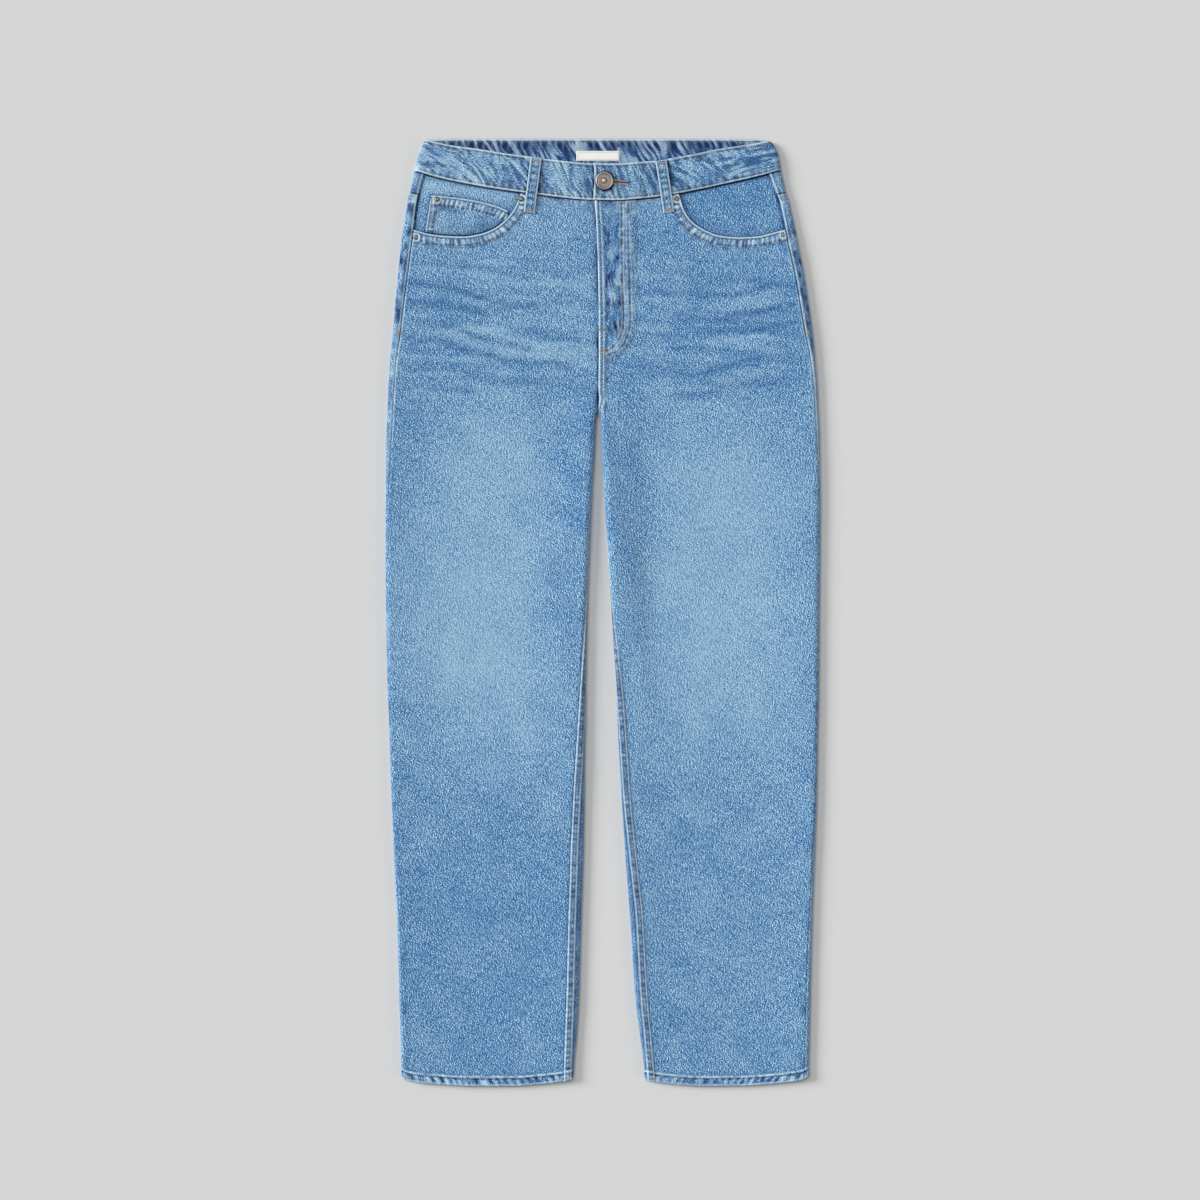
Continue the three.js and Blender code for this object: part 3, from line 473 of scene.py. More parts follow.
def soft_folds(x, y):
    """Height that the broad soft folds of the fronts add."""
    z = np.zeros(np.shape(x))
    for x1, y1, x2, y2, rise, reach in SOFT_FOLDS:
        away, t = to_segment(x, y, x1, y1, x2, y2)
        z = z + rise * (0.35 + 2.6 * t * (1 - t)) * bell(away, reach)
    return z


def skin(side, y, along):
    """Outer surface of the cloth. along runs round the ring from the outer edge: above 0 over
    the top, below 0 over the underside."""
    s = section(side, y)
    ring = 2 * s["length"]
    wrapped = np.mod(along, ring)
    top = wrapped <= s["length"]
    t = np.where(top, wrapped, ring - wrapped)
    left = s["length"] - t
    outer_angle = np.clip(t / s["outer_q"], 0, 1) * math.pi / 2
    inner_angle = np.clip(left / s["inner_q"], 0, 1) * math.pi / 2
    at_outer, at_inner = t < s["outer_q"], left < s["inner_q"]
    across = s["outer_a"] + t - s["outer_q"]
    across = np.where(at_outer, s["outer_a"] * (1 - np.cos(outer_angle)), across)
    across = np.where(at_inner, s["wide"] - s["inner_a"] * (1 - np.cos(inner_angle)), across)
    rise = np.where(at_outer, np.sin(outer_angle), np.where(at_inner, np.sin(inner_angle), 1.0))
    x = s["outer"] + side.dir * across
    from_inner = s["wide"] - across
    middle = s["high"] - 0.7 * (1 - smooth(170, 260, y)) * smooth(-500, -440, y)
    high = middle + (2 * s["outer_r"] - middle) * bell(across, 34)
    high = high + (2 * s["inner_r"] - middle) * bell(from_inner, 34) * (1 - s["opened"])
    half = high / 2
    z_top = half * (1 + rise)
    inward = smooth(6, 34, np.minimum(across, np.where(s["opened"] > 0.99, 60, from_inner)))
    calm = 1 - smooth(400, 430, y)
    z_top = z_top + inward * calm * soft_folds(x, y)
    if side is LEFT:
        raised = FLY_RISE * smooth(236, 285, y)
        limit = fly_limit(y)
        z_top = z_top + raised * (1 - smooth(limit, limit + FLY_FADE, x))
    else:
        start = fly_edge(y) - 7
        z_top = z_top - FLY_UNDERLAP_DROP * smooth(270, 290, y) * smooth(start, start + 6, x)
    lift = SEAT_LIFT * smooth(190, 228, y) * smooth(6.7, 20.7, across)
    lift = lift * mix(smooth(0, 8.7, from_inner), 1.0, s["opened"])
    z_low = half * (1 - rise) + lift
    return np.stack([x, y + 0 * x, np.where(top, z_top, z_low)], -1), top, across, from_inner


def skin_normal(side, y, along):
    u = skin(side, y, along + 0.3)[0] - skin(side, y, along - 0.3)[0]
    v = skin(side, y + 0.4, along)[0] - skin(side, y - 0.4, along)[0]
    n = np.cross(u, v) * side.dir
    return n / np.linalg.norm(n, axis=-1, keepdims=True)


def back_band(u):
    """Lower and upper edge of the back waistband, a share u of the way across."""
    low = mix(WAIST_BACK_Y, mix(band_bottom(0.0), band_bottom(1.0), u), (2 * u - 1) ** 2)
    high = mix(BAND_BACK_TOP_Y, mix(band_top(0.0), band_top(1.0), u), (2 * u - 1) ** 8)
    return low, high


def waist_seam(x, on_top):
    low, high = RIGHT.band_side(0.0), LEFT.band_side(0.0)
    u = np.clip((x - low) / (high - low), 0, 1)
    return np.where(on_top, band_bottom(u), back_band(u)[0]) - WAIST_GAP


# Effects along seams. Each takes the distance from a cloth edge and the place along it, in mm,
# and gives what it adds to the surface, to the pale wear and to the deep blue and painted shade.


def stitched_edge(away, along, rows, raised, pitch, seed, strength=1.0):
    band = 1 - smooth(rows[-1] + 0.5, rows[-1] + 2.2, away)
    wobble = 0.9 * noise(along, away * 0 + seed, 11, 1, seed)
    ripple = np.sin(2 * math.pi * along / pitch + 2.4 * wobble + 0.16 * away)
    ripple = 0.75 * ripple * (0.65 + 0.35 * noise(along, away, 17, 9, seed + 1))
    ripple = ripple + 0.7 * noise(along + 0.3 * away, away, 0.4 * pitch, 6, seed + 2)
    groove = sum(bell(away - row, 0.95) for row in rows)
    between = band * smooth(rows[0], rows[0] + 1.2, away)
    lift = raised * band - 0.3 * groove * band + 0.3 * strength * ripple * between
    worn = 1.3 * bell(away - 0.85, 0.75) + band * 0.1
    worn = worn + strength * between * (0.85 * over(ripple) ** 1.6)
    # Grooves of the rows: unworn indigo and painted shade in the recess
    deep = 1.35 * groove + strength * between * over(-ripple)
    return lift, worn, deep


def felled_seam(away, along, wide, seed):
    """A felled band lying on this side of a seam, with a row of stitching near each edge."""
    band = smooth(-0.3, 0.4, away) * (1 - smooth(wide, wide + 0.8, away))
    ripple = waver(along, 6.0, 2.8, 13, seed)
    ripple = 0.6 * ripple + 0.7 * noise(along, away, 3.4, 5, seed + 3)
    rows = bell(away - 2.3, 0.75) + bell(away - wide + 1.5, 0.75)
    lift = band * (0.75 + 0.24 * ripple) - 0.3 * rows
    worn = 1.15 * bell(away - 0.9, 0.75) + 0.8 * bell(away - wide + 0.2, 0.8)
    worn = worn + band * 0.5 * over(ripple)
    # Row grooves: unworn indigo and painted shade; past the band's edge, painted shade on the lower
    # cloth
    deep = 1.15 * rows + 0.9 * band * over(-ripple) + 0.8 * bell(away - wide - 1.4, 1.1)
    deep = deep + 0.35 * bell(away - wide / 2, wide * 0.2)
    return lift, worn, deep


def painted_edge_shade(away, reach=1.6):
    """Painted shade on the lower cloth along the edge of a higher one: a dark line that fades out.
    """
    return 1.25 * bell(away, reach * 0.75) + 0.35 * bell(away, reach * 2.6)


def hem_band(up, along, seed):
    """The turned-up hem: up is the height over its lower edge."""
    slant = along + 0.55 * up
    rope = waver(slant, 8.5, 4.2, 23, seed)
    rope = rope * (0.55 + 0.45 * noise(along, up, 24, 9, seed + 5))
    rope = 0.85 * rope + 0.7 * noise(along + 0.25 * up, up, 3.6, 4.5, seed + 9)
    band = 1 - smooth(9.2, 10.4, up)
    lift = band * (0.55 + 0.32 * rope * smooth(0, 2.5, up)) - 0.3 * bell(up - 8.6, 0.7)
    frayed = 0.85 + 0.9 * noise(along, up, 3.0, 3, seed + 7)
    worn = 0.75 * bell(up - 1.0, 1.3) + 1.05 * bell(up - 10.3, 0.9) * frayed
    worn = worn + band * 1.15 * over(rope, 0.08) * smooth(9.0, 6.5, up)
    # Row groove and rope troughs: unworn indigo and painted shade; above the hem's edge, painted
    # shade
    deep = 1.1 * bell(up - 8.2, 0.9) + 0.3 * bell(up - 12.6, 1.5)
    deep = deep + 1.6 * band * over(-rope) * smooth(0.5, 4.0, up)
    return lift, worn, deep


class Fields:
    """What a cloth grid adds to its smooth surface; its deep blue holds painted shade as well."""

    def __init__(self, x):
        self.lift = np.zeros(np.shape(x))
        self.worn = np.zeros(np.shape(x))
        self.deep = np.zeros(np.shape(x))
        self.fade = np.zeros(np.shape(x))

    def add(self, effect, share=1.0):
        lift, worn, deep = effect
        self.lift = self.lift + lift * share
        self.worn = self.worn + worn * share
        self.deep = self.deep + deep * share


def leg_fade(side, x, y):
    """The broad wash: pale thighs and knees, deeper sides, hips and shins."""
    middle = np.interp(y, [-500, -150, 0, 150, 260, 440], [126, 124, 122, 116, 108, 104])
    half = np.interp(y, [-500, -190, -60, 60, 150, 220, 300], [70, 84, 96, 94, 74, 54, 50])
    centre = middle * (-side.dir) + 6 * noise(y, y * 0, 130, 1, 31 + side.dir)
    away = np.abs(x - centre - 5 * noise(x, y, 30, 60, 32)) / half
    across = np.exp(-(away**3.2))
    edge = 26 * noise(x, y * 0, 60, 1, 41 + side.dir) + 16 * noise(x, y, 24, 46, 43)
    down = smooth(-215, -55, y + edge)
    up = mix(1.0, 0.16, smooth(150, 262, y + 0.6 * edge))
    mottle = 0.55 * noise(x, y, 27, 34, 47) + 0.4 * noise(x + y, y, 11, 17, 48)
    mottle = mottle + 0.3 * noise(x, y, 70, 160, 49)
    calm = 0.65 + 0.35 * (1 - across * down * up)
    hips = smooth(215, 290, y)
    base = 0.02 - 0.1 * hips + 0.1 * smooth(350, 410, y) * (1 if side is RIGHT else 0.4)
    base = base - 0.12 * (side is RIGHT) * smooth(-200, -320, y)
    base = base - 0.08 * (side is LEFT) * hips
    inner = 0.2 * bell(x - side.inner(y) + side.dir * 30, 26)
    inner = inner * smooth(215, 150, y) * smooth(-140, 0, y)
    mottle = mottle * (1 + 1.2 * inner / 0.2 * (side is RIGHT))
    wash = base + 0.77 * across * down * up + 0.32 * calm * mottle - inner
    return np.clip(wash, -0.2, 1.1)


def rivet_marks(f, x, y):
    """Cloth rubbed bare round each rivet, painted shade at its foot, and the dimple it is pressed
    into.
    """
    for rx, ry, _ in RIVETS.values():
        away = np.hypot(x - rx, y - ry)
        f.worn = f.worn + 1.1 * bell(away - 4.0, 1.0)
        # Painted shade round the cap's foot, and a darker ring beyond the pale one
        f.deep = f.deep + 0.9 * bell(away, 3.0) + 0.4 * bell(away - 6.4, 1.2)
        f.lift = f.lift + 0.3 * bell(away - 4.2, 1.2) - 0.2 * bell(away, 3.0)


def whiskers(x, y):
    """Strength of the set whisker streaks, from 0 to about 1."""
    total = np.zeros(np.shape(x))
    bend = y + 2.2 * noise(x, y, 26, 30, 91)
    for x1, y1, x2, y2, strength, wide in WHISKERS:
        away, _ = to_segment(x, bend, x1, y1, x2, y2)
        total = np.maximum(total, strength * bell(away, 0.8 * wide))
    return total * (0.74 + 0.34 * noise(x, y, 13, 4, 92))


def uneven(x, y, scale, seed):
    """Slight unevenness of laid cloth."""
    broad = 0.42 * noise(x, y, 74, 110, seed) + 0.26 * noise(x, y, 33, 44, seed + 1)
    return scale * (broad + 0.13 * noise(x, y, 13, 17, seed + 2))


def spaced(parts):
    """Positions from (start, end, step) runs, each end shared with the next start."""
    values = [parts[0][0]]
    for start, end, step in parts:
        count = max(1, int(round((end - start) / step)))
        values.extend(np.linspace(start, end, count + 1)[1:])
    return np.array(values)


def lipped_shares(lip, step):
    """Shares from 0 to 1 with two short steps for the lip at each end."""
    return spaced([(0, lip, lip / 2), (lip, 1 - lip, step), (1 - lip, 1, lip / 2)])


def mesh_object(name, points, faces, uv=None, fields=None, smooth_faces=True):
    mesh = bpy.data.meshes.new(name)
    flat = np.asarray(points, float).reshape(-1, 3) * MM
    faces = np.asarray(faces, np.int32)
    corners = faces.shape[1]
    mesh.vertices.add(len(flat))
    mesh.vertices.foreach_set("co", flat.ravel())
    mesh.loops.add(faces.size)
    mesh.loops.foreach_set("vertex_index", faces.ravel())
    mesh.polygons.add(len(faces))
    mesh.polygons.foreach_set("loop_start", np.arange(0, faces.size, corners, dtype=np.int32))
    mesh.polygons.foreach_set("loop_total", np.full(len(faces), corners, np.int32))
    mesh.update(calc_edges=True)
    if uv is not None:
        layer = mesh.uv_layers.new(name="cloth")
        layer.data.foreach_set("uv", (np.asarray(uv).reshape(-1, 2) * MM)[faces.ravel()].ravel())
    for key, values in (fields or {}).items():
        attribute = mesh.attributes.new(key, "FLOAT", "POINT")
        attribute.data.foreach_set("value", np.asarray(values, np.float32).ravel())
    mesh.polygons.foreach_set("use_smooth", np.full(len(faces), smooth_faces))
    mesh.validate()
    obj = bpy.data.objects.new(name, mesh)
    bpy.context.scene.collection.objects.link(obj)
    return obj


def grid_faces(rows, columns, flip=False, offset=0):
    r, c = np.meshgrid(np.arange(rows - 1), np.arange(columns - 1), indexing="ij")
    a = (r * columns + c).ravel() + offset
    quads = np.stack([a, a + 1, a + 1 + columns, a + columns], 1)
    return quads[:, ::-1] if flip else quads


# Depths at which the outermost rows of a grid turn in over its edge, as shares of the wall
LIP = (1.0, 0.55, 0.16)
BAND_LIP = (0.55, 0.25, 0.06)
STRIP_LIP = (1.0, 0.5, 0.18, 0.04)
STRIP_END_LIP = (1.0, 0.4, 0.08)
# Painted shade on the lips that turn in over an edge, where the seam gap lies in shade
LIP_SHADE = 0.8
LIP_REACH = 5


def edge_depths(count, lip):
    """Depths along a row of a grid, 0 apart from its first and last few places."""
    depth = np.zeros(count)
    depth[:len(lip)] = lip
    depth[count - len(lip):] = lip[::-1]
    return depth


def lip_depths(shape, lip=LIP):
    return np.maximum(edge_depths(shape[0], lip)[:, None], edge_depths(shape[1], lip))


def lip_shade(y, outseam_away, inner_away):
    """How much painted shade the lips get: navy in the upper outseam, soft below it and at the
    inseam.
    """
    dark = np.where(outseam_away < LIP_REACH, mix(0.1, 1.0, smooth(262, 306, y)), LIP_SHADE)
    return np.where((inner_away < LIP_REACH) & (y < 215), 0.35, dark)


def cloth_values(fields, depth, dark=LIP_SHADE):
    """Attributes of a cloth grid: the lips that turn in get painted shade, and where it is dark
    they are never pale.
    """
    worn = fields.worn * (1 - np.clip(2.2 * depth * np.minimum(dark, 1), 0, 1))
    return {"worn": worn, "deep": fields.deep + dark * depth, "fade": fields.fade}


def cloth_object(name, side, y, along, f, dark=LIP_SHADE, tuck_end=TUCK, tuck_top=TUCK):
    """A panel over a grid of places on the ring, displaced by its fields.

    Its lips are tucked under the neighbours, as a seam's allowance, so that no seam gapes.
    """
    y, along = y.copy(), along.copy()
    along[:, 0] += TUCK * np.sign(along[:, 0] - along[:, 1])
    along[:, -1] += tuck_end * np.sign(along[:, -1] - along[:, -2])
    y[-1] += tuck_top
    depth = lip_depths(y.shape)
    normal = skin_normal(side, y, along)
    points = skin(side, y, along)[0] + normal * (f.lift - depth * DENIM)[..., None]
    points[..., 2] = np.maximum(points[..., 2], FLOOR_CLEAR)
    faces = grid_faces(*y.shape, flip=side.dir < 0)
    coords = np.stack([side.dir * along, y], -1)
    return mesh_object(name, points, faces, coords, cloth_values(f, depth, dark))


def seam_half(side, y):
    crotch = 0.5 * bell(y - CROTCH_Y, 16)
    at_fold = np.where(y > CROTCH_Y, SEAM_GAP / 2, fold_gap(side.inseam(y)))
    return np.maximum(at_fold, SEAM_GAP / 2 + crotch)


def fold_gap(along):
    return SEAM_GAP / 2 + 0.2 * bell(along, 4)


def front_limits(side, y):
    s = section(side, y)
    start = side.outseam(y) + fold_gap(side.outseam(y)) - 1.0 * (1 - smooth(90, 170, y))
    at_centre = s["inner_q"] * s["opened"] + s["spare"]
    fly = side.dir * (fly_edge(y) - CENTRE_X) * s["opened"]
    under = FLY_UNDERLAP * smooth(290, 306, y) if side is RIGHT else 0
    end = s["length"] - side.inseam(y) - at_centre + fly + under - seam_half(side, y)
    return start, end


def back_limits(side, y, cover=0.0):
    """Both borders of the back on the ring; cover carries its felled edge over the inseam."""
    s = section(side, y)
    start = side.outseam(y) - fold_gap(side.outseam(y))
    opened = s["inner_q"] * s["opened"] + s["spare"]
    end = -s["length"] - side.inseam(y) + opened + seam_half(side, y) - cover * (1 - s["opened"])
    return start, end


def back_cut(side, y):
    return back_limits(side, y, 1.0)


def columns_between(start, end, offsets, calm):
    """Places between two limits: fixed distances near both, stretched in the middle."""
    whole = offsets[..., -1:]
    share = smooth(calm, whole - calm, offsets)
    size = np.abs(end - start)
    sign = np.sign(end - start)
    return start + sign * (offsets + (size - whole) * share)


def rows_for(side, nominal, limits, offsets, calm, top, edge):
    """Slides rows near the hem and the upper edge, so both follow their curves."""
    upper = np.full(len(offsets), float(top))
    for _ in range(8):
        start, end = limits(side, upper)
        place = skin(side, upper, columns_between(start, end, offsets, calm))[0]
        upper = 0.4 * upper + 0.6 * edge(place[:, 0])
    foot_y = np.full(len(offsets), HEM_CORNER_Y)
    start, end = limits(side, foot_y)
    foot = skin(side, foot_y, columns_between(start, end, offsets, calm))
    share = np.clip(foot[2] / section(side, HEM_CORNER_Y)["wide"], 0, 1)
    lower = side.hem(share) - HEM_CORNER_Y
    near_hem = 1 - smooth(-478, -390, nominal)
    near_top = np.clip((nominal - 300) / (top - 300), 0, 1)
    y = nominal[:, None] + near_hem[:, None] * lower + near_top[:, None] * (upper - top)
    start, end = limits(side, y)
    along = columns_between(start, end, offsets, calm)
    return y, along, side.hem(share)


def front_panel(side):
    offsets = spaced([
        (0, 0.6, 0.3), (0.6, 13, 0.95), (13, 96, 1.5), (96, 124, 1.1),
        (124, 172, 2.2), (172, 204, 0.9), (204, 205, 0.5),
    ])
    nominal = spaced([
        (-500, -499.4, 0.3), (-499.4, -486, 0.9), (-486, 214, 2.6), (214, 386, 2.3),
        (386, 430, 1.15), (430, 472.4, 0.9), (472.4, WAIST_SIDE_Y, 0.3),
    ])
    mouth = side.mouth_line

    def edge(x):
        seam = waist_seam(x, True)
        inside = side.dir * (x - mouth[0, 0]) < 0
        return np.where(inside, np.minimum(seam, side.mouth(x)), seam)

    y, along, hem_y = rows_for(side, nominal, front_limits, offsets, 16, WAIST_SIDE_Y, edge)
    start, end = front_limits(side, y)
    x = skin(side, y, along)[0][..., 0]
    f = Fields(x)
    f.fade = leg_fade(side, x, y)
    f.lift += uneven(x, y, 1.0, 5 + side.dir) * smooth(3, 30, np.abs(along - start))
    near_fly = smooth(216, 224, y)
    outseam_away, inner_away = np.abs(along - start), np.abs(end - along)
    side_wear = smooth(110, 250, y) * (0.65 + 0.5 * noise(y, y * 0, 5, 1, 12))
    f.worn += side_wear * 1.3 * bell(outseam_away - 0.9, 0.75)
    f.lift += 0.25 * (1 - smooth(1.5, 4, outseam_away))
    mouth_away, mouth_along = to_line(x, y, mouth)
    f.add(stitched_edge(mouth_away, mouth_along, MOUTH_ROWS, 0.35, 4.8, 14, 1.6))
    f.deep += 0.55 * bell(mouth_away - 12.0, 1.4)
    spread = noise(mouth_along, mouth_away, 3.4, 9, 16)
    f.worn += 0.5 * bell(mouth_away - 14, 3.0) * over(spread)
    f.deep += 0.5 * bell(mouth_away - 13, 3.5) * over(-spread)
    waist_away = np.abs(waist_seam(x, True) - y)
    # Painted shade on the front under the waistband's edge
    f.deep += painted_edge_shade(waist_away, 1.3) + 0.25 * bell(waist_away, 7)
    if side is LEFT:
        near_fly = smooth(203, 209, y)
        rub = near_fly * (0.8 + 0.35 * noise(y, inner_away, 9, 8, 13))
        f.worn += rub * (1.6 * bell(inner_away - 0.7, 1.5) + 0.7 * bell(inner_away - 5.6, 0.8))
        # Dark dashes between the fly's puckers: unworn indigo, deepened past 1 into painted shadow
        dashes = waver(y, 5.4, 1.8, 13, 16)
        dashes = 0.55 + 0.6 * smooth(-0.4, 0.5, dashes)
        f.deep += near_fly * 1.45 * bell(inner_away - 3.3, 0.95) * dashes
        knots = noise(y, inner_away, 5, 5, 15)
        f.deep += near_fly * 0.9 * bell(inner_away - 8.8, 1.3) * (0.8 + 0.9 * knots)
        f.lift += near_fly * (0.5 * bell(inner_away - 0.8, 1.5) + 0.4 * bell(inner_away - 5.8, 1.2))
        for row, seed in ((FLY_ROW_INNER, 18), (FLY_ROW_OUTER, 19)):
            away, run = to_line(x, y, row)
            ripple = waver(run, 7.5, 4.0, 13, seed)
            ripple = 0.45 * ripple + 0.9 * noise(x, y, 3.6, 4.4, seed + 40)
            f.lift += -0.35 * bell(away, 0.9) + 0.3 * bell(away, 4) * ripple
            f.worn += 0.45 * bell(away - 1.7, 0.8) + 0.5 * bell(away, 3.6) * over(ripple)
            # Row grooves: unworn indigo and painted shade; troughs between puckers stay unworn
            # indigo
            f.deep += 1.3 * bell(away, 0.8) + 1.1 * bell(away, 3.4) * over(-ripple)
        inside = smooth(280, 312, y) * (1 - smooth(20, 30, x)) * smooth(2, 6, x)
        blotch = noise(x, y, 5, 10, 61) + 0.7 * noise(x, y, 3.2, 5, 59)
        crease = noise(x + 0.2 * y, y, 3.4, 26, 57)
        line = bell(crease, 0.16) * smooth(-0.4, 0.4, noise(x, y, 9, 16, 56))
        f.lift += 0.4 * inside * noise(x, y, 5, 22, 60) + 0.3 * inside * line
        f.fade -= 0.45 * inside
        f.deep += inside * (0.15 + 1.6 * over(blotch, 0.02))
        f.worn += inside * (0.4 * over(-blotch, 0.3) + 0.85 * line)
        beyond = smooth(300, 340, y) * smooth(28, 31, x) * (1 - smooth(36, 48, x))
        line = bell(noise(x + 0.16 * y, y, 4.2, 34, 55), 0.16)
        f.worn += 0.55 * beyond * line
        f.deep += 0.7 * beyond * over(noise(x + 0.16 * y, y, 4.2, 20, 54), 0.1)
    else:
        fly_away = np.abs(fly_edge(y) - x)
        patchy = 0.15 + 0.85 * smooth(-0.3, 0.5, noise(y, y * 0, 21, 1, 17))
        patchy = np.maximum(patchy, smooth(408, 420, y))
        # Painted shade on the right front beside the fly's edge
        f.deep += near_fly * patchy * (painted_edge_shade(fly_away, 1.9) + 0.25 * bell(fly_away, 8))
        top_pucker = bell(waist_away, 14) * bell(fly_away, 26)
        f.worn += 0.7 * top_pucker * bell(noise(x, y, 3.6, 18, 52), 0.18)
        f.deep += 0.8 * top_pucker * over(noise(x, y, 4, 12, 53))
    seam_shade = painted_edge_shade(inner_away - 1.0, 1.3) * (1 - near_fly) * smooth(20, -60, y)
    f.deep += 0.4 * seam_shade
    near_waist = bell(waist_away, 9) * bell(np.abs(x - CENTRE_X) - 45, 42)
    f.worn += 0.4 * near_waist * bell(noise(x, y, 4, 16, 50), 0.2)
    f.deep += 0.55 * near_waist * over(noise(x, y, 4.5, 12, 49))
    streaks = whiskers(x, y)
    f.fade -= 0.75 * streaks
    f.deep += 0.5 * streaks
    f.lift -= 0.35 * streaks
    hips = smooth(215, 250, y) * (1 - smooth(365, 395, y)) * smooth(5, 40, inner_away)
    drawn = noise(x + 1.6 * y, y + 1.4 * noise(x, y, 34, 22, 95), 58, 4.4, 94) * hips
    f.fade += 0.19 * drawn
    f.deep += 0.15 * over(-drawn)
    gaps = np.maximum(0, noise(x + 3 * y, y, 46, 8, 93)) * smooth(215, 250, y)
    f.fade += 0.75 * gaps * (1 - smooth(365, 395, y)) * (1 - streaks)
    if side is LEFT:
        # Painted shade along the soft fold of the inner thigh
        fold, _ = to_line(x, y, [[4.6, 200], [14, 150], [24, 99], [40, -29]])
        f.deep += 0.22 * bell(fold, 9) * smooth(230, 190, y)
    rivet_marks(f, x, y)
    # Dark patches along the lower outseam: blotches, and painted shade that dims the edge the key
    # light brightens
    patches = np.maximum(noise(y, outseam_away, 9, 6, 97) + 0.6 * noise(y, x, 3.6, 3, 98), -0.2)
    f.deep += (0.2 + 0.8 * patches) * bell(outseam_away, 5) * (1 - smooth(120, 190, y))
    f.add(hem_band(np.abs(y - hem_y), x * side.dir, 21 + side.dir))
    dark = lip_shade(y, outseam_away, inner_away)
    dark = np.where((inner_away < LIP_REACH) & (side is LEFT) & (y > 215), 0.15, dark)
    laps_over = (side is LEFT) & (y[:, -1] > 200)
    under_band = waist_away[-1] < 2
    return cloth_object(f"denim_front_{side.name}", side, y, along, f, dark,
                        np.where(laps_over, 0, TUCK), np.where(under_band, TUCK, 0))


def back_panel(side):
    offsets = spaced([
        (0, 0.6, 0.3), (0.6, 24, 0.95), (24, 40, 2.2), (40, 196, 3.3), (196, 210, 2.2),
        (210, 240, 0.95), (240, 240.6, 0.3),
    ])
    nominal = spaced([
        (-500, -499.4, 0.3), (-499.4, -486, 0.9), (-486, 380, 2.8), (380, 448.4, 2.0),
        (448.4, 449, 0.3),
    ])

    def edge(x):
        return yoke_seam(np.abs(x - CENTRE_X)) - SEAM_GAP / 2

    y, along, hem_y = rows_for(side, nominal, back_cut, offsets, 40, 449.0, edge)
    start, end = back_cut(side, y)
    place, top, across = skin(side, y, along)[:3]
    x = place[..., 0]
    f = Fields(x)
    f.fade = back_fade(side, x, y, top)
    f.lift += np.where(top, 0, 0.3) * uneven(x, y, 1.0, 71 + side.dir) * smooth(8, 30, across)
    outseam_away, inner_away = np.abs(along - start), np.abs(end - along)
    ridge = felled_seam(outseam_away, y, 3.2, 24)
    upper = 0.06 + 0.94 * smooth(120, 250, y) * (0.75 + 0.25 * noise(y, y * 0, 14, 1, 25))
    f.lift += 0.35 * ridge[0]
    f.worn += upper * (1.3 * bell(outseam_away - 0.9, 0.8) + 0.1 * bell(outseam_away, 6))
    # Dark line beside the felled outseam: unworn indigo and painted shade
    f.deep += smooth(262, 306, y) * 0.8 * bell(outseam_away - 3.4, 1.3)
    # Painted shade over the inner fold's side that faces the key light, made blotchy
    inner_fold_shade = bell(inner_away - 12, 5) * (0.7 + 0.6 * noise(y, inner_away, 7, 9, 96))
    f.deep += (1 - smooth(200, 222, y)) * 0.6 * inner_fold_shade
    f.add(felled_seam(inner_away, y, FELL_WIDE, 27), 1 - smooth(200, 222, y))
    if side is LEFT:
        f.add(felled_seam(inner_away, y, FELL_WIDE, 28), smooth(222, 240, y))
    blotch = noise(y, x, 8, 4.5, 30) + 0.5 * noise(y, x, 3.6, 3, 26)
    margin = np.where(top, 1.0, 0.0) * smooth(140, 300, y)
    f.deep += margin * (0.12 + 1.25 * over(blotch + 0.1))
    f.worn += margin * 0.5 * over(-blotch, 0.35)
    yoke_away = np.abs(yoke_seam(np.abs(x - CENTRE_X)) - y)
    f.add(felled_seam(yoke_away, x, 9.0, 29), np.where(top, 0.6, 1.0))
    f.worn += np.where(top, 0.3, 0.0) * bell(yoke_away - 6, 6) * (1 + noise(x, y, 4, 3, 23))
    away, _ = to_line(x, y, back_pocket_outline(side))
    # Painted shade on the underside beside the back pocket's edge
    f.deep += np.where(top, 0, painted_edge_shade(away, 2.0))
    f.add(hem_band(np.abs(y - hem_y), x * side.dir, 35 + side.dir))
    dark = lip_shade(y, outseam_away, inner_away)
    return cloth_object(f"denim_back_{side.name}", side, y, along, f, dark)


def back_fade(side, x, y, top):
    centre = -side.dir * 112
    seat = bell(x - centre, 84) * bell(y - 250, 130)
    calf = 0.35 * bell(x - centre, 70) * smooth(-260, -60, y) * (1 - smooth(80, 160, y))
    base = 0.16 + 0.07 * noise(x, y, 60, 130, 51) + 0.05 * noise(x, y, 22, 50, 52)
    under = np.clip(base + 0.75 * seat + calf, 0, 1.1)
    margin = 0.16 + 0.2 * noise(x, y, 40, 46, 53)
    return np.where(top, margin, under)


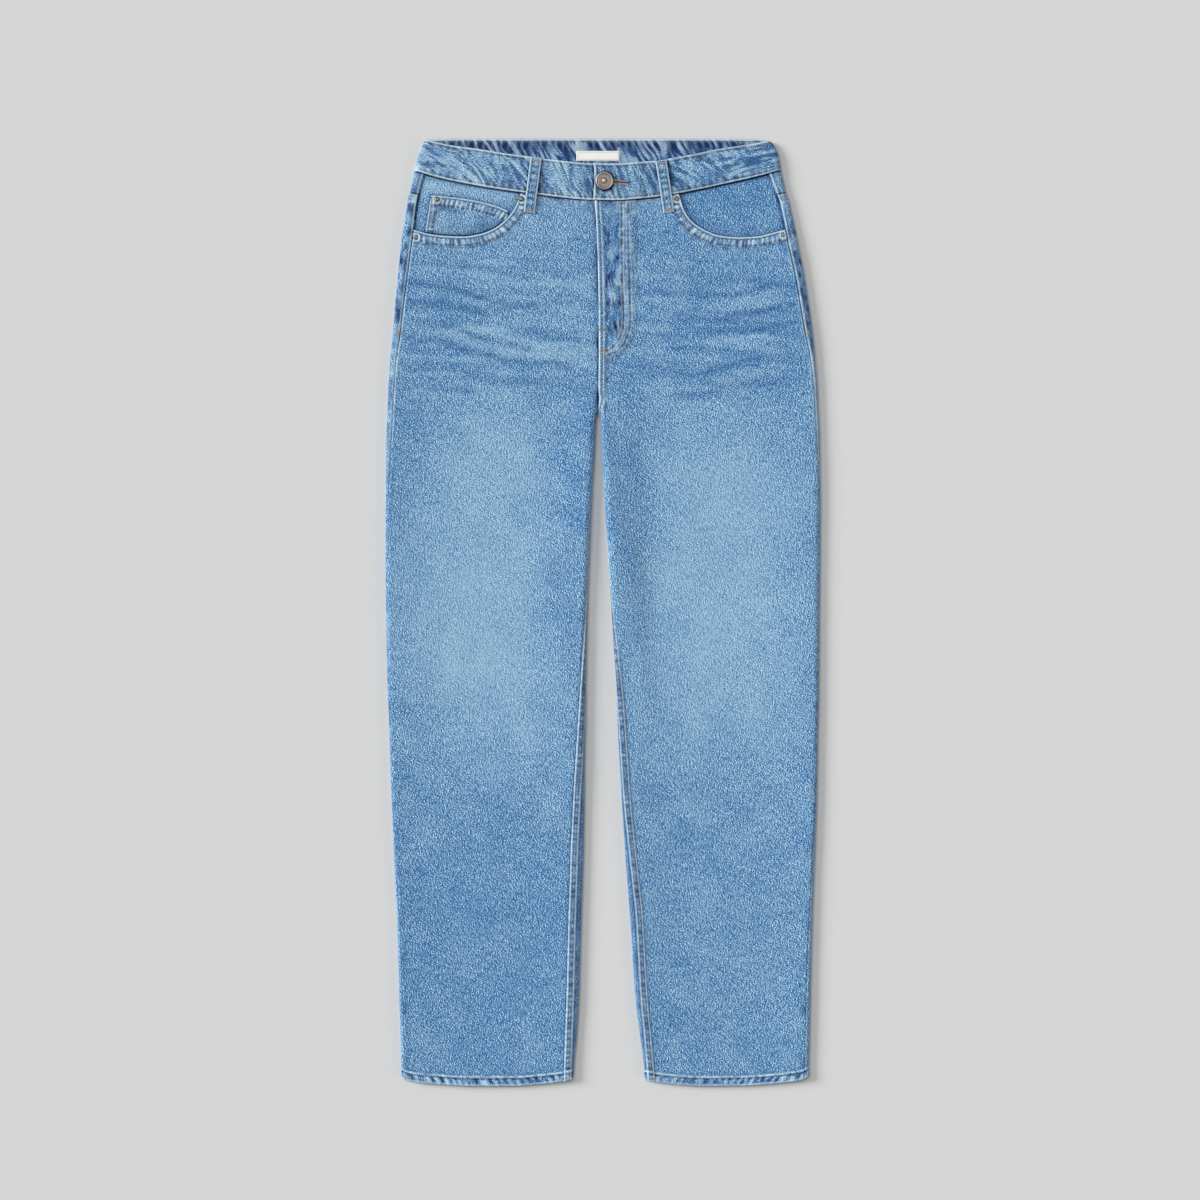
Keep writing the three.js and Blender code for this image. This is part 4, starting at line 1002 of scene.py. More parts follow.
def yoke(side):
    offsets = spaced([
        (0, 0.6, 0.3), (0.6, 24, 1.0), (24, 190, 3.0), (190, 202, 1.1), (202, 202.6, 0.3),
    ])
    shares = spaced([(0, 0.02, 0.01), (0.02, 0.4, 0.02), (0.4, 0.98, 0.035), (0.98, 1, 0.01)])
    low = np.full(len(offsets), 440.0)
    high = np.full(len(offsets), 465.0)
    for _ in range(8):
        start, end = back_limits(side, low)
        p = skin(side, low, columns_between(start, end, offsets, 30))[0]
        low = yoke_seam(np.abs(p[:, 0] - CENTRE_X)) + SEAM_GAP / 2
        start, end = back_limits(side, high)
        p, top = skin(side, high, columns_between(start, end, offsets, 30))[:2]
        high = waist_seam(p[:, 0], top)
    y = mix(low, high, shares[:, None])
    start, end = back_limits(side, y)
    along = columns_between(start, end, offsets, 30)
    place, top, across = skin(side, y, along)[:3]
    x = place[..., 0]
    f = Fields(x)
    f.fade = np.where(top, 0.35, 0.3) + 0.15 * noise(x, y, 34, 30, 54)
    f.lift += uneven(x, y, 0.4, 75 + side.dir) * smooth(8, 30, across)
    outseam_away, inner_away = np.abs(along - start), np.abs(end - along)
    f.worn += 1.3 * bell(outseam_away - 0.9, 0.8) + 0.1 * bell(outseam_away, 6)
    # Dark line beside the felled outseam: unworn indigo and painted shade; painted shade along the
    # yoke seam and the waistband
    f.deep += 0.8 * bell(outseam_away - 3.4, 1.3)
    f.deep += painted_edge_shade(np.abs(y - low), 1.2) + painted_edge_shade(np.abs(high - y), 1.3)
    if side is LEFT:
        f.add(felled_seam(inner_away, y, FELL_WIDE, 28))
    blotch = noise(x, y, 9, 7, 55) + 0.5 * noise(x, y, 3.6, 4, 56)
    f.deep += np.where(top, 0.9, 0.15) * over(blotch)
    return cloth_object(f"denim_yoke_{side.name}", side, y, along, f)


def top_height(side, x, y):
    """Height of the smooth top surface over a place."""
    s = section(side, y)
    along = s["outer_q"] + side.dir * (x - s["outer"]) - s["outer_a"]
    return skin(side, y, along)[0][..., 2]


def flat_patch(name, side, x, y, under, thick, f, flip):
    """A patch whose outer face lies so far under the smooth top surface."""
    z = top_height(side, x, y) - under + f.lift
    depth = lip_depths(x.shape)
    points = np.stack([x, y, z - depth * thick], -1)
    faces = grid_faces(*x.shape, flip)
    return mesh_object(name, points, faces, np.stack([x, y], -1), cloth_values(f, depth))


def pocket_facing(side):
    inner_x = {"right": -76.0, "left": 70.0}[side.name]
    shares = lipped_shares(0.006, 0.0125)
    ups = lipped_shares(0.01, 0.02)
    x = np.zeros((len(ups), len(shares)))
    y = np.full_like(x, 430.0)
    low_end = side.mouth_line[8, 0]
    for _ in range(8):
        s = section(side, y)
        seam = s["outer"] + side.dir * (s["outer_a"] + side.outseam(y) - s["outer_q"] + 0.2)
        x = mix(seam, inner_x, shares)
        past = np.clip(side.dir * (x - low_end) / 12, 0, 1)
        low = np.minimum(side.mouth(x - side.dir * 10.4) - 13 * (1 - 0.3 * past), 437)
        y = mix(low, waist_seam(x, True), ups[:, None])
    f = Fields(x)
    f.fade = 0.04 - 0.3 * (side is LEFT)
    f.fade = f.fade + 0.2 * noise(x, y, 40, 26, 62) + 0.2 * noise(x, y, 13, 11, 58)
    f.fade = f.fade + 0.75 * bell(y - 454, 11) * (side is RIGHT)
    f.lift += uneven(x, y, 0.5, 81)
    mouth_away, _ = to_line(x, y, side.mouth_line)
    # Painted shade on the facing under the mouth's edge, the waistband, the side seam and the coin
    # pocket
    f.deep += 0.5 * painted_edge_shade(mouth_away, 1.8) + 0.3 * bell(mouth_away, 10)
    f.deep += painted_edge_shade(waist_seam(x, True) - y, 1.3)
    seam_away = side.dir * (x - seam)
    f.deep += 0.8 * painted_edge_shade(seam_away, 1.4)
    if side is RIGHT:
        coin, _ = to_line(x, y, coin_outline())
        f.deep += 0.7 * painted_edge_shade(coin, 1.6)
    return flat_patch(f"denim_facing_{side.name}", side, x, y, 1.95, 1.3, f, side.dir < 0)


def coin_outline():
    x = np.linspace(*COIN_ENDS, 30)
    left_foot = (COIN_ENDS[0] - COIN_SLANT, float(RIGHT.mouth(COIN_ENDS[0] - COIN_SLANT)) + 0.8)
    return np.concatenate([[left_foot], np.stack([x, coin_top(x)], 1)])


def coin_pocket():
    shares = lipped_shares(0.008, 0.0115)
    ups = lipped_shares(0.016, 0.0195)
    y = np.full((len(ups), len(shares)), 430.0)
    for _ in range(8):
        start = COIN_ENDS[0] - COIN_SLANT * np.clip((447 - y) / 38, 0, 1)
        x = mix(start, COIN_ENDS[1], shares)
        low = RIGHT.mouth(x) + 0.8
        high = np.maximum(coin_top(x), low + 1.5)
        y = mix(low, high, ups[:, None])
    f = Fields(x)
    f.fade = 0.4 + 0.2 * noise(x, y, 26, 18, 63) - 0.2 * smooth(-150, -120, x)
    f.lift += uneven(x, y, 0.4, 83)
    away, run = to_line(x, y, COIN_TOP)
    f.add(stitched_edge(away, run, COIN_TOP_ROWS, 0.3, 4.8, 64, 1.5))
    side_away = x - (COIN_ENDS[0] - COIN_SLANT * np.clip((447 - y) / 38, 0, 1))
    f.add(stitched_edge(side_away, y, COIN_SIDE_ROWS, 0.25, 5.2, 65, 1.1), smooth(2, 9, away))
    mouth_away = y - RIGHT.mouth(x)
    # Painted shade on the coin pocket under the front's mouth edge
    f.deep += painted_edge_shade(mouth_away, 1.8) + 0.35 * bell(mouth_away, 9)
    f.deep += 0.5 * over(noise(x, y, 13, 9, 66)) * smooth(10, 16, away)
    f.deep += 0.75 * bell(x + 170, 13) * bell(away - 13.5, 3.2) * (1 + 0.4 * noise(x, y, 4, 4, 67))
    rivet_marks(f, x, y)
    return flat_patch("denim_coin_pocket", RIGHT, x, y, 0.6, 1.0, f, False)


def back_pocket_outline(side):
    ring = np.concatenate([BACK_POCKET_TOP, BACK_POCKET_FOOT[::-1], BACK_POCKET_TOP[:1]])
    return np.stack([CENTRE_X - side.dir * ring[:, 0], ring[:, 1]], 1)


def back_pocket(side):
    across = lipped_shares(0.005, 0.0148)
    up = lipped_shares(0.004, 0.0125)
    foot = BACK_POCKET_FOOT
    knots = (foot[:, 0] - foot[0, 0]) / (foot[-1, 0] - foot[0, 0])
    off, y = (
        mix(np.interp(across, knots, foot[:, k]),
            np.interp(across, [0, 0.5, 1], BACK_POCKET_TOP[:, k]), up[:, None])
        for k in (0, 1)
    )
    x = CENTRE_X - side.dir * off
    f = Fields(x)
    outline = back_pocket_outline(side)
    f.fade = 0.42 + 0.25 * bell(off - 104, 60) + 0.12 * noise(x, y, 36, 44, 67)
    upper, run = to_line(x, y, outline[:3])
    f.add(stitched_edge(upper, run, POCKET_TOP_ROWS, 0.0, 6.0, 68, 0.8))
    rest, run = to_line(x, y, outline[2:])
    f.add(stitched_edge(rest, run, POCKET_SIDE_ROWS, 0.0, 6.2, 69, 0.9), smooth(3, 12, upper))
    depth = lip_depths(x.shape)
    z = 0.32 - 0.3 * np.clip(0.6 + f.lift, 0, 1) + depth * 0.95
    return mesh_object(
        f"denim_back_pocket_{side.name}", np.stack([x, y, z], -1),
        grid_faces(*x.shape, flip=side.dir < 0), np.stack([-x, y], -1), cloth_values(f, depth))


# The waistband is one closed strip: from the end under the lap, round both folds, to the lap's
# edge.


def band_path():
    """Columns of the strip: kind (0 top, 1 right fold, 2 underside, 3 left fold, 4 lap), value."""
    columns = []
    front = np.concatenate([
        np.linspace(BAND_UNDERLAP_END_U, 0.49, 24), np.linspace(0.49, 0.02, 240)[1:],
    ])
    columns += [(0, u) for u in front]
    columns += [(1, a) for a in np.linspace(84, -84, 22)]
    columns += [(2, u) for u in np.linspace(0.02, 0.98, 340)]
    columns += [(3, a) for a in np.linspace(-84, 84, 22)]
    lap = np.concatenate([
        np.linspace(0.98, 0.66, 165), np.linspace(0.66, 0.6, 34)[1:],
        np.linspace(0.6, BAND_LAP_END_U, 60)[1:],
    ])
    columns += [(4, u) for u in lap]
    return np.array(columns)


def band_points(columns, up):
    kind, value = columns[:, 0][None], columns[:, 1][None]
    up = np.asarray(up)[:, None]
    right, left = RIGHT.band_side(up), LEFT.band_side(up)
    r = BAND_HIGH / 2
    a = r * EDGE_ROUND
    is_fold = (kind == 1) | (kind == 3)
    angle = np.radians(np.where(is_fold, value, 0))
    fold_x = np.where(kind == 1, right + a * (1 - np.cos(angle)), left - a * (1 - np.cos(angle)))
    flat_x = mix(right, left, np.where(is_fold, 0.5, value))
    x = np.where(is_fold, fold_x, flat_x)
    from_edge = np.minimum(flat_x - right, left - flat_x)
    z_top = BAND_HIGH + np.where(
        kind == 4, BAND_LAP_RISE * (1 - smooth(0.61, 0.655, value)),
        -BAND_UNDERLAP_DROP * smooth(0.44, 0.478, value),
    )
    z_low = SEAT_LIFT * smooth(a + 2, a + 16, from_edge)
    z = np.where(is_fold, r + r * np.sin(angle), np.where(kind == 2, z_low, z_top))
    front = np.where(is_fold, angle > 0, kind != 2)
    u = (x - right) / (left - right)
    back_low, back_high = back_band(u)
    y = mix(np.where(front, band_bottom(u), back_low), np.where(front, band_top(u), back_high), up)
    return np.stack([x, y, z + 0 * y], -1), front, u


def grid_normals(points):
    u = np.gradient(points, axis=1)
    v = np.gradient(points, axis=0)
    n = np.cross(u, v)
    return n / np.maximum(np.linalg.norm(n, axis=-1, keepdims=True), 1e-9)


def waistband():
    columns = band_path()
    ups = lipped_shares(0.012, 0.021)
    base, front, u = band_points(columns, ups)
    normal = grid_normals(base)
    if normal[20, 100, 2] < 0:
        normal = -normal
    x, y = base[..., 0], base[..., 1]
    run = np.cumsum(np.hypot(np.gradient(x[25]), np.gradient(base[25, :, 2])))
    run = np.broadcast_to(run, x.shape)
    height = ups[:, None] * BAND_TALL
    from_low, from_high = height + 0 * x, BAND_TALL - height + 0 * x
    outer, inner = Fields(x), Fields(x)
    for f, seed in ((outer, 100), (inner, 140)):
        for away, k in ((from_low, 0), (from_high, 5)):
            f.add(stitched_edge(away, run, (BAND_ROW,), 0.1, 6.0, seed + k, 0.0))
        pucker = waver(run, 8.5, 2.6, 19, seed + 11)
        near = bell(from_low - 4, 7) + 0.8 * bell(from_high - 4, 7)
        patch = noise(run, height, 34, 24, seed + 14)
        small = noise(run, height, 11, 8, seed + 15)
        wave, total = 0 * x, 0 * x + 1e-6
        for k, (angle, place, reach) in enumerate(BAND_LEANS if f is outer else [(-60, 0.5, 2)]):
            lean = math.radians(angle)
            share = bell(u - place, reach)
            s_along = x * math.cos(lean) + y * math.sin(lean)
            t_across = y * math.cos(lean) - x * math.sin(lean)
            t_across = t_across + 2.0 * noise(run, height, 16, 16, seed + 18)
            fine = noise(t_across, s_along, 1.7, 13, seed + 20 + k)
            fine = fine + 0.6 * noise(t_across, s_along, 3.6, 19, seed + 30 + k)
            wave, total = wave + share * fine, total + share**2
        wave = wave / np.sqrt(total)
        patchy = smooth(-0.9, 0.4, noise(run, height, 19, 15, seed + 16))
        crease = smooth(0.08, 0.42, -wave) * patchy
        f.lift += 0.12 * near * pucker - 0.45 * wave
        speck = noise(run, height, 4.5, 3.6, seed + 17)
        f.fade = 0.36 - 0.2 * smooth(0.46, 0.7, u) + 0.34 * patch + 0.3 * small + 0.22 * speck
        dark = 1.1 * smooth(0.02, 0.4, wave) * (0.35 + 0.65 * patchy)
        dark = dark + 0.4 * near * over(-pucker) + 0.6 * np.maximum(0, -small - 0.1)
        f.deep += np.minimum(dark, 0.95)
        f.worn += 0.62 * crease + 0.3 * near * over(pucker)
    outer.fade -= 0.2 + 0.06 * smooth(0.55, 0.72, u)
    outer.worn *= 1 - 0.3 * smooth(0.55, 0.72, u)
    # Inside face of the band: less faded cloth, with painted shade over all of it, most a little
    # below its top
    inner.fade = -0.15 + 0.5 * inner.fade
    inner.deep += 0.4 * bell(from_high - 6, 5) + 0.65
    lap_x = mix(RIGHT.band_side(ups), LEFT.band_side(ups), BAND_LAP_END_U)
    lap_away = np.abs(x - lap_x[:, None])
    on_lap = (columns[:, 0] == 4)[None] * 1.0
    outer.add(stitched_edge(lap_away, height, (3.0,), 0.2, 6.0, 120, 0.0), on_lap)
    outer.worn += on_lap * 0.9 * bell(lap_away - 1.0, 1.2)
    under_lap = (columns[:, 0] == 0)[None] * 1.0
    # Painted shade on the band beside the lap's edge
    outer.deep += under_lap * painted_edge_shade(lap_away, 1.8)
    # Painted shadow in the buttonhole's slit, softer round it
    hole, _ = to_line(x, y, np.array([[9.0, 460.6], [29.0, 460.0]]))
    outer.deep += on_lap * (0.4 * bell(hole, 4.0) + 2.0 * bell(hole, 0.8))
    # Painted shadow round the button, set down and to the right, where the cloth is never pale
    from_button = np.hypot(x - BUTTON[0] - 0.4, y - BUTTON[1] + 0.4)
    outer.deep += on_lap * 1.9 * bell(over(from_button - BUTTON_RADIUS), 1.5)
    outer.worn = outer.worn * (1 - on_lap * bell(over(from_button - BUTTON_RADIUS), 2))
    # Painted shade on the waistband beside each front belt loop
    for (x1, y1), (x2, y2) in FRONT_LOOPS.values():
        away, _ = to_line(x, y, np.array([[x1, y1 + 2], [x2, y2]]))
        edge = over(away - 6.1)
        outer.deep += front * 0.9 * painted_edge_shade(edge, 1.8)
    rounding = lip_depths(x.shape, BAND_LIP)
    out_points = base + normal * (0.8 * outer.lift - rounding)[..., None]
    in_points = base - normal * (BAND_THICK - rounding + 0.3 * inner.lift)[..., None]
    out_points[..., 2] = np.maximum(out_points[..., 2], FLOOR_CLEAR)
    rows, count = x.shape
    size = rows * count
    faces = [grid_faces(rows, count), grid_faces(rows, count, True, size)]
    index = np.arange(size).reshape(rows, count)
    rim = []
    for line, turned in ((index[0], False), (index[-1], True), (index[:, 0], True),
                         (index[:, -1], False)):
        quad = np.stack([line[:-1] + size, line[1:] + size, line[1:], line[:-1]], 1)
        rim.append(quad[:, ::-1] if turned else quad)
    points = np.concatenate([out_points.reshape(-1, 3), in_points.reshape(-1, 3)])
    coords = np.stack([height + 0 * run, run], -1).reshape(-1, 2)
    sides = cloth_values(outer, rounding), cloth_values(inner, rounding)
    values = {key: np.concatenate([s[key].ravel() for s in sides]) for key in sides[0]}
    both = np.concatenate([coords, coords + 500.0])
    return mesh_object("denim_waistband", points, np.concatenate(faces + rim), both, values)


def strip_object(name, spine, heights, thick, seed, down=False):
    """A belt loop: a stitched strip from spine's top to its foot, with its underside's height."""
    t = lipped_shares(0.02, 0.96 / 56)
    top, foot = np.asarray(spine, float)
    length = np.linalg.norm(foot - top)
    run = (foot - top) / length
    sideways = np.array([-run[1], run[0]])
    half = np.array([0.04, 0.12, 0.2, 0.28, 0.36, 0.44, 0.48, 0.497, 0.5])
    across = np.concatenate([-half[::-1], half]) * LOOP_WIDE
    centre = top + t[:, None] * (foot - top)
    xy = centre[:, None, :] + across[None, :, None] * sideways
    along = t[:, None] * length + 0 * across[None]
    off = across[None] + 0 * along
    edge = LOOP_WIDE / 2 - np.abs(off)
    f = Fields(off)
    ripple = waver(along, 7, 2.5, 15, seed)
    f.lift += 0.2 * bell(edge - 0.9, 0.8) + 0.12 * ripple * bell(off, 4)
    blotch = noise(along, off, 4.5, 4, seed + 3)
    f.worn += 1.3 * bell(edge - 0.7, 0.8) + 0.5 * over(ripple) * bell(off, 3)
    # Row grooves: unworn indigo and painted shade; troughs and blotches are unworn indigo
    f.deep += 1.1 * bell(edge - 2.3, 0.8) + 0.7 * over(-ripple) * bell(off, 4)
    f.deep += 1.0 * over(blotch, 0.1) * bell(off, 5)
    for end in (along, length - along):
        f.worn += 0.7 * bell(end - 0.4, 1.2)
        f.lift -= 0.3 * bell(end - 4.0, 1.4)
    f.fade = 0.28 + 0.4 * noise(along, off, 12, 6, seed + 1)
    depth = np.maximum(edge_depths(len(across), STRIP_LIP)[None],
                       edge_depths(len(t), STRIP_END_LIP)[:, None])
    z = heights(t)[:, None] + (thick - depth * thick + f.lift) * (-1 if down else 1)
    if down:
        z = np.maximum(z, FLOOR_CLEAR)
    coords = np.stack([off, along], -1) + np.array([seed * 37.0, 0.0])
    return mesh_object(name, np.concatenate([xy, z[..., None]], -1),
                       grid_faces(len(t), len(across), flip=down), coords, cloth_values(f, depth))


def label_object():
    x = spaced([(-28.2, 18.2, 0.8)])
    y = spaced([(483.6, 494.4, 0.6)])
    gx, gy = np.meshgrid(x, y)
    z = 5.05 + 0.18 * noise(gx, gy, 15, 30, 181) + 0.12 * np.cos((gx + 5) / 12)
    f = Fields(gx)
    edge = np.minimum.reduce([gx - x[0], x[-1] - gx, gy - y[0], y[-1] - gy])
    z = z + 0.15 * bell(edge - 0.6, 0.7) - 0.7 * bell(edge, 0.3)
    points = np.stack([gx, gy, z], -1)
    values = {"worn": f.worn, "deep": 0.5 * bell(edge - 1.5, 0.5), "fade": f.fade}
    coords = np.stack([gx, gy], -1)
    return mesh_object("label_tape", points, grid_faces(len(y), len(x)), coords, values)


def turned_object(name, profile, place, count=72):
    """A turned piece from rows of radius, height and grime."""
    profile = np.asarray(profile, float)
    angles = np.linspace(0, 2 * math.pi, count, endpoint=False)
    r, z = profile[:, 0][:, None], profile[:, 1][:, None]
    points = np.stack([r * np.cos(angles), r * np.sin(angles), z + 0 * angles[None]], -1)
    rows = len(profile)
    i, j = np.meshgrid(np.arange(rows - 1), np.arange(count), indexing="ij")
    a = (i * count + j).ravel()
    b = (i * count + (j + 1) % count).ravel()
    faces = np.stack([a, b, b + count, a + count], 1)
    grime = np.repeat(profile[:, 2], count)
    return mesh_object(name, points + np.asarray(place), faces, fields={"grime": grime})


def button_object():
    r = BUTTON_RADIUS
    profile = [
        (3.6, 0.0, 1), (3.7, 0.9, 1), (4.2, 1.35, 1), (r * 0.9, 1.55, 1), (r * 0.975, 1.75, 0.8),
        (r, 2.15, 0.6), (r * 0.995, 2.75, 0.35), (r * 0.96, 3.1, 0.1), (r * 0.91, 3.26, 0.0),
        (r * 0.86, 3.22, 0.15), (r * 0.82, 3.0, 0.8), (r * 0.78, 2.86, 1.0), (r * 0.74, 2.9, 0.7),
        (r * 0.71, 3.04, 0.3), (r * 0.67, 3.04, 0.35), (r * 0.63, 2.92, 0.75), (r * 0.55, 2.9, 0.5),
        (r * 0.47, 2.94, 0.45), (r * 0.4, 2.9, 0.6), (r * 0.33, 2.84, 1.0), (r * 0.28, 2.9, 0.9),
        (r * 0.24, 3.1, 0.3), (r * 0.2, 3.28, 0.0), (r * 0.14, 3.38, 0.0), (r * 0.07, 3.42, 0.0),
        (0.001, 3.43, 0.05),
    ]
    return turned_object("waist_button", profile, BUTTON)


def rivet_object(name, x, y, ground):
    r = 2.9
    profile = [
        (r * 0.9, -0.3, 1), (r * 0.985, 0.12, 1), (r, 0.3, 0.9), (r * 0.95, 0.46, 0.6),
        (r * 0.88, 0.5, 0.7), (r * 0.78, 0.42, 1.0), (r * 0.7, 0.34, 1.0), (r * 0.66, 0.4, 1.0),
        (r * 0.62, 0.75, 0.5), (r * 0.57, 1.15, 0.1), (r * 0.48, 1.38, 0.0), (r * 0.36, 1.46, 0.0),
        (r * 0.24, 1.36, 0.3), (r * 0.16, 1.1, 0.9), (0.001, 0.95, 1.0),
    ]
    return turned_object(f"{name}_cap", profile, (x, y, ground + LAYER_GAP), 40)


# Stitching: each stitch is a short bent thread whose ends sink into the cloth.


class Threads:
    def __init__(self, name):
        self.name = name
        self.points, self.faces, self.count = [], [], 0

    def stitch(self, a, b, up, wide=0.34, high=0.3, sink=0.22):
        run = b - a
        length = run.length
        if length < 0.3:
            return
        run = run / length
        sideways = run.cross(up).normalized()
        ring = []
        for t in (0.0, 0.14, 0.5, 0.86, 1.0):
            arch = math.sin(math.pi * min(max(t, 0.02), 0.98))
            centre = a + run * (t * length) + up * (high * (arch ** 0.55) - sink * (1 - arch))
            half = wide * (0.55 + 0.45 * arch)
            for k in range(5):
                angle = 2 * math.pi * k / 5 + 0.3
                offset = sideways * (half * math.cos(angle)) + up * (half * 0.8 * math.sin(angle))
                ring.append(centre + offset)
        base = self.count
        self.points.extend(ring)
        self.count += len(ring)
        for i in range(4):
            for k in range(5):
                m = (k + 1) % 5
                p, q = base + 5 * i, base + 5 * (i + 1)
                self.faces.append((p + k, q + k, q + m, p + m))

    def build(self):
        points = [[p.x, p.y, max(p.z, 0.01)] for p in self.points]
        return mesh_object(self.name, points, self.faces)


def surface_of(obj):
    """Search tree over a piece of quads, in millimetres."""
    mesh = obj.data
    points = np.zeros(len(mesh.vertices) * 3)
    mesh.vertices.foreach_get("co", points)
    corners = np.zeros(len(mesh.loops), np.int32)
    mesh.loops.foreach_get("vertex_index", corners)
    return BVHTree.FromPolygons(
        (points.reshape(-1, 3) / MM).tolist(), corners.reshape(-1, 4).tolist())


def closest(hits):
    hits = [hit for hit in hits if hit[0] is not None]
    return min(hits, key=lambda hit: hit[3]) if hits else None


def nearest(trees, point, reach=9.0):
    return closest([tree.find_nearest(Vector(point), reach) for tree in trees])


def dropped(trees, place, view):
    """Where a plumb line between the two heights of a view first meets the cloth."""
    start, end = view
    origin, way = Vector((place[0], place[1], start)), Vector((0, 0, math.copysign(1, end - start)))
    return closest([tree.ray_cast(origin, way, abs(end - start)) for tree in trees])


def resample(points, pitch):
    points = np.asarray(points, float)
    size = np.linalg.norm(np.diff(points, axis=0), axis=1)
    run = np.concatenate([[0], np.cumsum(size)])
    count = max(1, int(run[-1] / pitch))
    at = np.linspace(0, run[-1], count + 1)
    return np.stack([np.interp(at, run, points[:, k]) for k in range(points.shape[1])], 1)


def sew_top(threads, trees, line, seed, view=ABOVE):
    """A row of stitches over a line of (x, y), seen from above or from below."""
    rng = np.random.default_rng(seed)
    places = resample(line, STITCH_PITCH)
    for p, q in zip(places[:-1], places[1:]):
        shift = rng.uniform(-0.12, 0.12, 2)
        shares = STITCH_GAP / 2, 1 - STITCH_GAP / 2
        a, b = (dropped(trees, mix(p, q, share) + shift, view) for share in shares)
        if a is None or b is None or abs(a[0].z - b[0].z) > 1.2:
            continue
        up = a[1] + b[1]
        if up.z * (view[0] - view[1]) < 0:
            up = -up
        threads.stitch(a[0], b[0], up.normalized())


def sew_ring(threads, trees, side, y, along, seed):
    """A row of stitches over places on a leg's ring, also round its folds."""
    rng = np.random.default_rng(seed)
    normal = skin_normal(side, y, along)
    data = resample(np.concatenate([skin(side, y, along)[0], normal], 1), STITCH_PITCH)
    for p, q in zip(data[:-1], data[1:]):
        shift = rng.uniform(-0.1, 0.1) * 0.3
        shares = STITCH_GAP / 2, 1 - STITCH_GAP / 2
        a, b = (nearest(trees, mix(p, q, share)[:3] + shift) for share in shares)
        if a is not None and b is not None:
            threads.stitch(a[0], b[0], Vector(((p + q) / 2)[3:]).normalized())


def bartack(threads, trees, start, end, wide, view=ABOVE, turns=14):
    """A dense zigzag bar between two points of (x, y)."""
    start, end = np.asarray(start, float), np.asarray(end, float)
    run = (end - start) / max(np.linalg.norm(end - start), 1e-6)
    sideways = np.array([-run[1], run[0]])
    up = Vector((0, 0, 1 if view[0] > view[1] else -1))
    for k in range(turns):
        centre = mix(start, end, (k + 0.5) / turns)
        a = dropped(trees, centre - sideways * wide / 2 + run * 0.12, view)
        b = dropped(trees, centre + sideways * wide / 2 - run * 0.12, view)
        if a is not None and b is not None:
            threads.stitch(a[0], b[0], up, wide=0.3, high=0.5, sink=0.1)


# Materials


def linear(colour):
    values = [c / 255 for c in colour]
    return [c / 12.92 if c <= 0.04045 else ((c + 0.055) / 1.055) ** 2.4 for c in values]


class Nodes:
    """Short way to build a shader's node tree."""

    def __init__(self, name):
        self.material = bpy.data.materials.new(name)
        self.material.use_nodes = True
        self.tree = self.material.node_tree
        self.tree.nodes.clear()
        self.out = self.tree.nodes.new("ShaderNodeOutputMaterial")

    def node(self, kind, **values):
        made = self.tree.nodes.new(kind)
        for key, value in values.items():
            setattr(made, key, value)
        return made

    def put(self, socket, value):
        """Sets a socket to a number or a colour, or links it to another."""
        if isinstance(value, (int, float)):
            socket.default_value = value
        elif isinstance(value, (list, tuple)):
            socket.default_value = (*value[:3], 1.0)
        else:
            self.tree.links.new(value, socket)

    def math(self, operation, a, b, clamp=False):
        made = self.node("ShaderNodeMath", operation=operation, use_clamp=clamp)
        self.put(made.inputs[0], a)
        self.put(made.inputs[1], b)
        return made.outputs[0]

    def times(self, a, b, clamp=False):
        return self.math("MULTIPLY", a, b, clamp)

    def add(self, *terms):
        total = terms[0]
        for term in terms[1:]:
            total = self.math("ADD", total, term)
        return total

    def swing(self, value, gain, middle=0.5, clamp=False):
        """How far a value is from its middle, times a gain."""
        return self.times(self.math("SUBTRACT", value, middle), gain, clamp)

    def mix(self, factor, a, b, blend="MIX"):
        made = self.node("ShaderNodeMix", data_type="RGBA", blend_type=blend)
        for name, value in (("Factor", factor), ("A", a), ("B", b)):
            self.put(next(s for s in made.inputs if s.name == name and s.enabled), value)
        return next(s for s in made.outputs if s.enabled)

    def scaled(self, vector, scale, turn=0.0, move=(0, 0, 0)):
        made = self.node("ShaderNodeMapping")
        made.inputs["Location"].default_value = move
        made.inputs["Scale"].default_value = scale
        made.inputs["Rotation"].default_value = (0, 0, turn)
        self.put(made.inputs["Vector"], vector)
        return made.outputs["Vector"]

    def noise(self, vector, scale, detail=2.0, rough=0.5, move=(0, 0, 0)):
        """Noise over a vector scaled by x, y and z; one number scales all three."""
        scale = scale if isinstance(scale, tuple) else (scale,) * 3
        made = self.node("ShaderNodeTexNoise")
        made.inputs["Scale"].default_value = 1.0
        made.inputs["Detail"].default_value = detail
        made.inputs["Roughness"].default_value = rough
        self.put(made.inputs["Vector"], self.scaled(vector, scale, move=move))
        return made.outputs["Fac"]

    def attribute(self, name):
        return self.node("ShaderNodeAttribute", attribute_name=name).outputs["Fac"]

    def uv(self):
        return self.node("ShaderNodeUVMap", uv_map="cloth").outputs["UV"]

    def place(self):
        return self.node("ShaderNodeTexCoord").outputs["Object"]

    def finish(self, colour, rough, values, height=None, strength=0.0, distance=0.0):
        """Closes the tree with a surface, bumped by height where that is given."""
        shader = self.node("ShaderNodeBsdfPrincipled")
        self.put(shader.inputs["Base Color"], colour)
        self.put(shader.inputs["Roughness"], rough)
        for name, value in values.items():
            shader.inputs[name].default_value = value
        if height is not None:
            bump = self.node("ShaderNodeBump")
            bump.inputs["Strength"].default_value = strength
            bump.inputs["Distance"].default_value = distance
            self.put(bump.inputs["Height"], height)
            self.put(shader.inputs["Normal"], bump.outputs["Normal"])
        self.put(self.out.inputs["Surface"], shader.outputs["BSDF"])
        return self.material


DEEP = linear((42, 105, 165))
MIDDLE = linear((102, 154, 196))
PALE = linear((172, 203, 222))
WORN = linear((198, 227, 240))
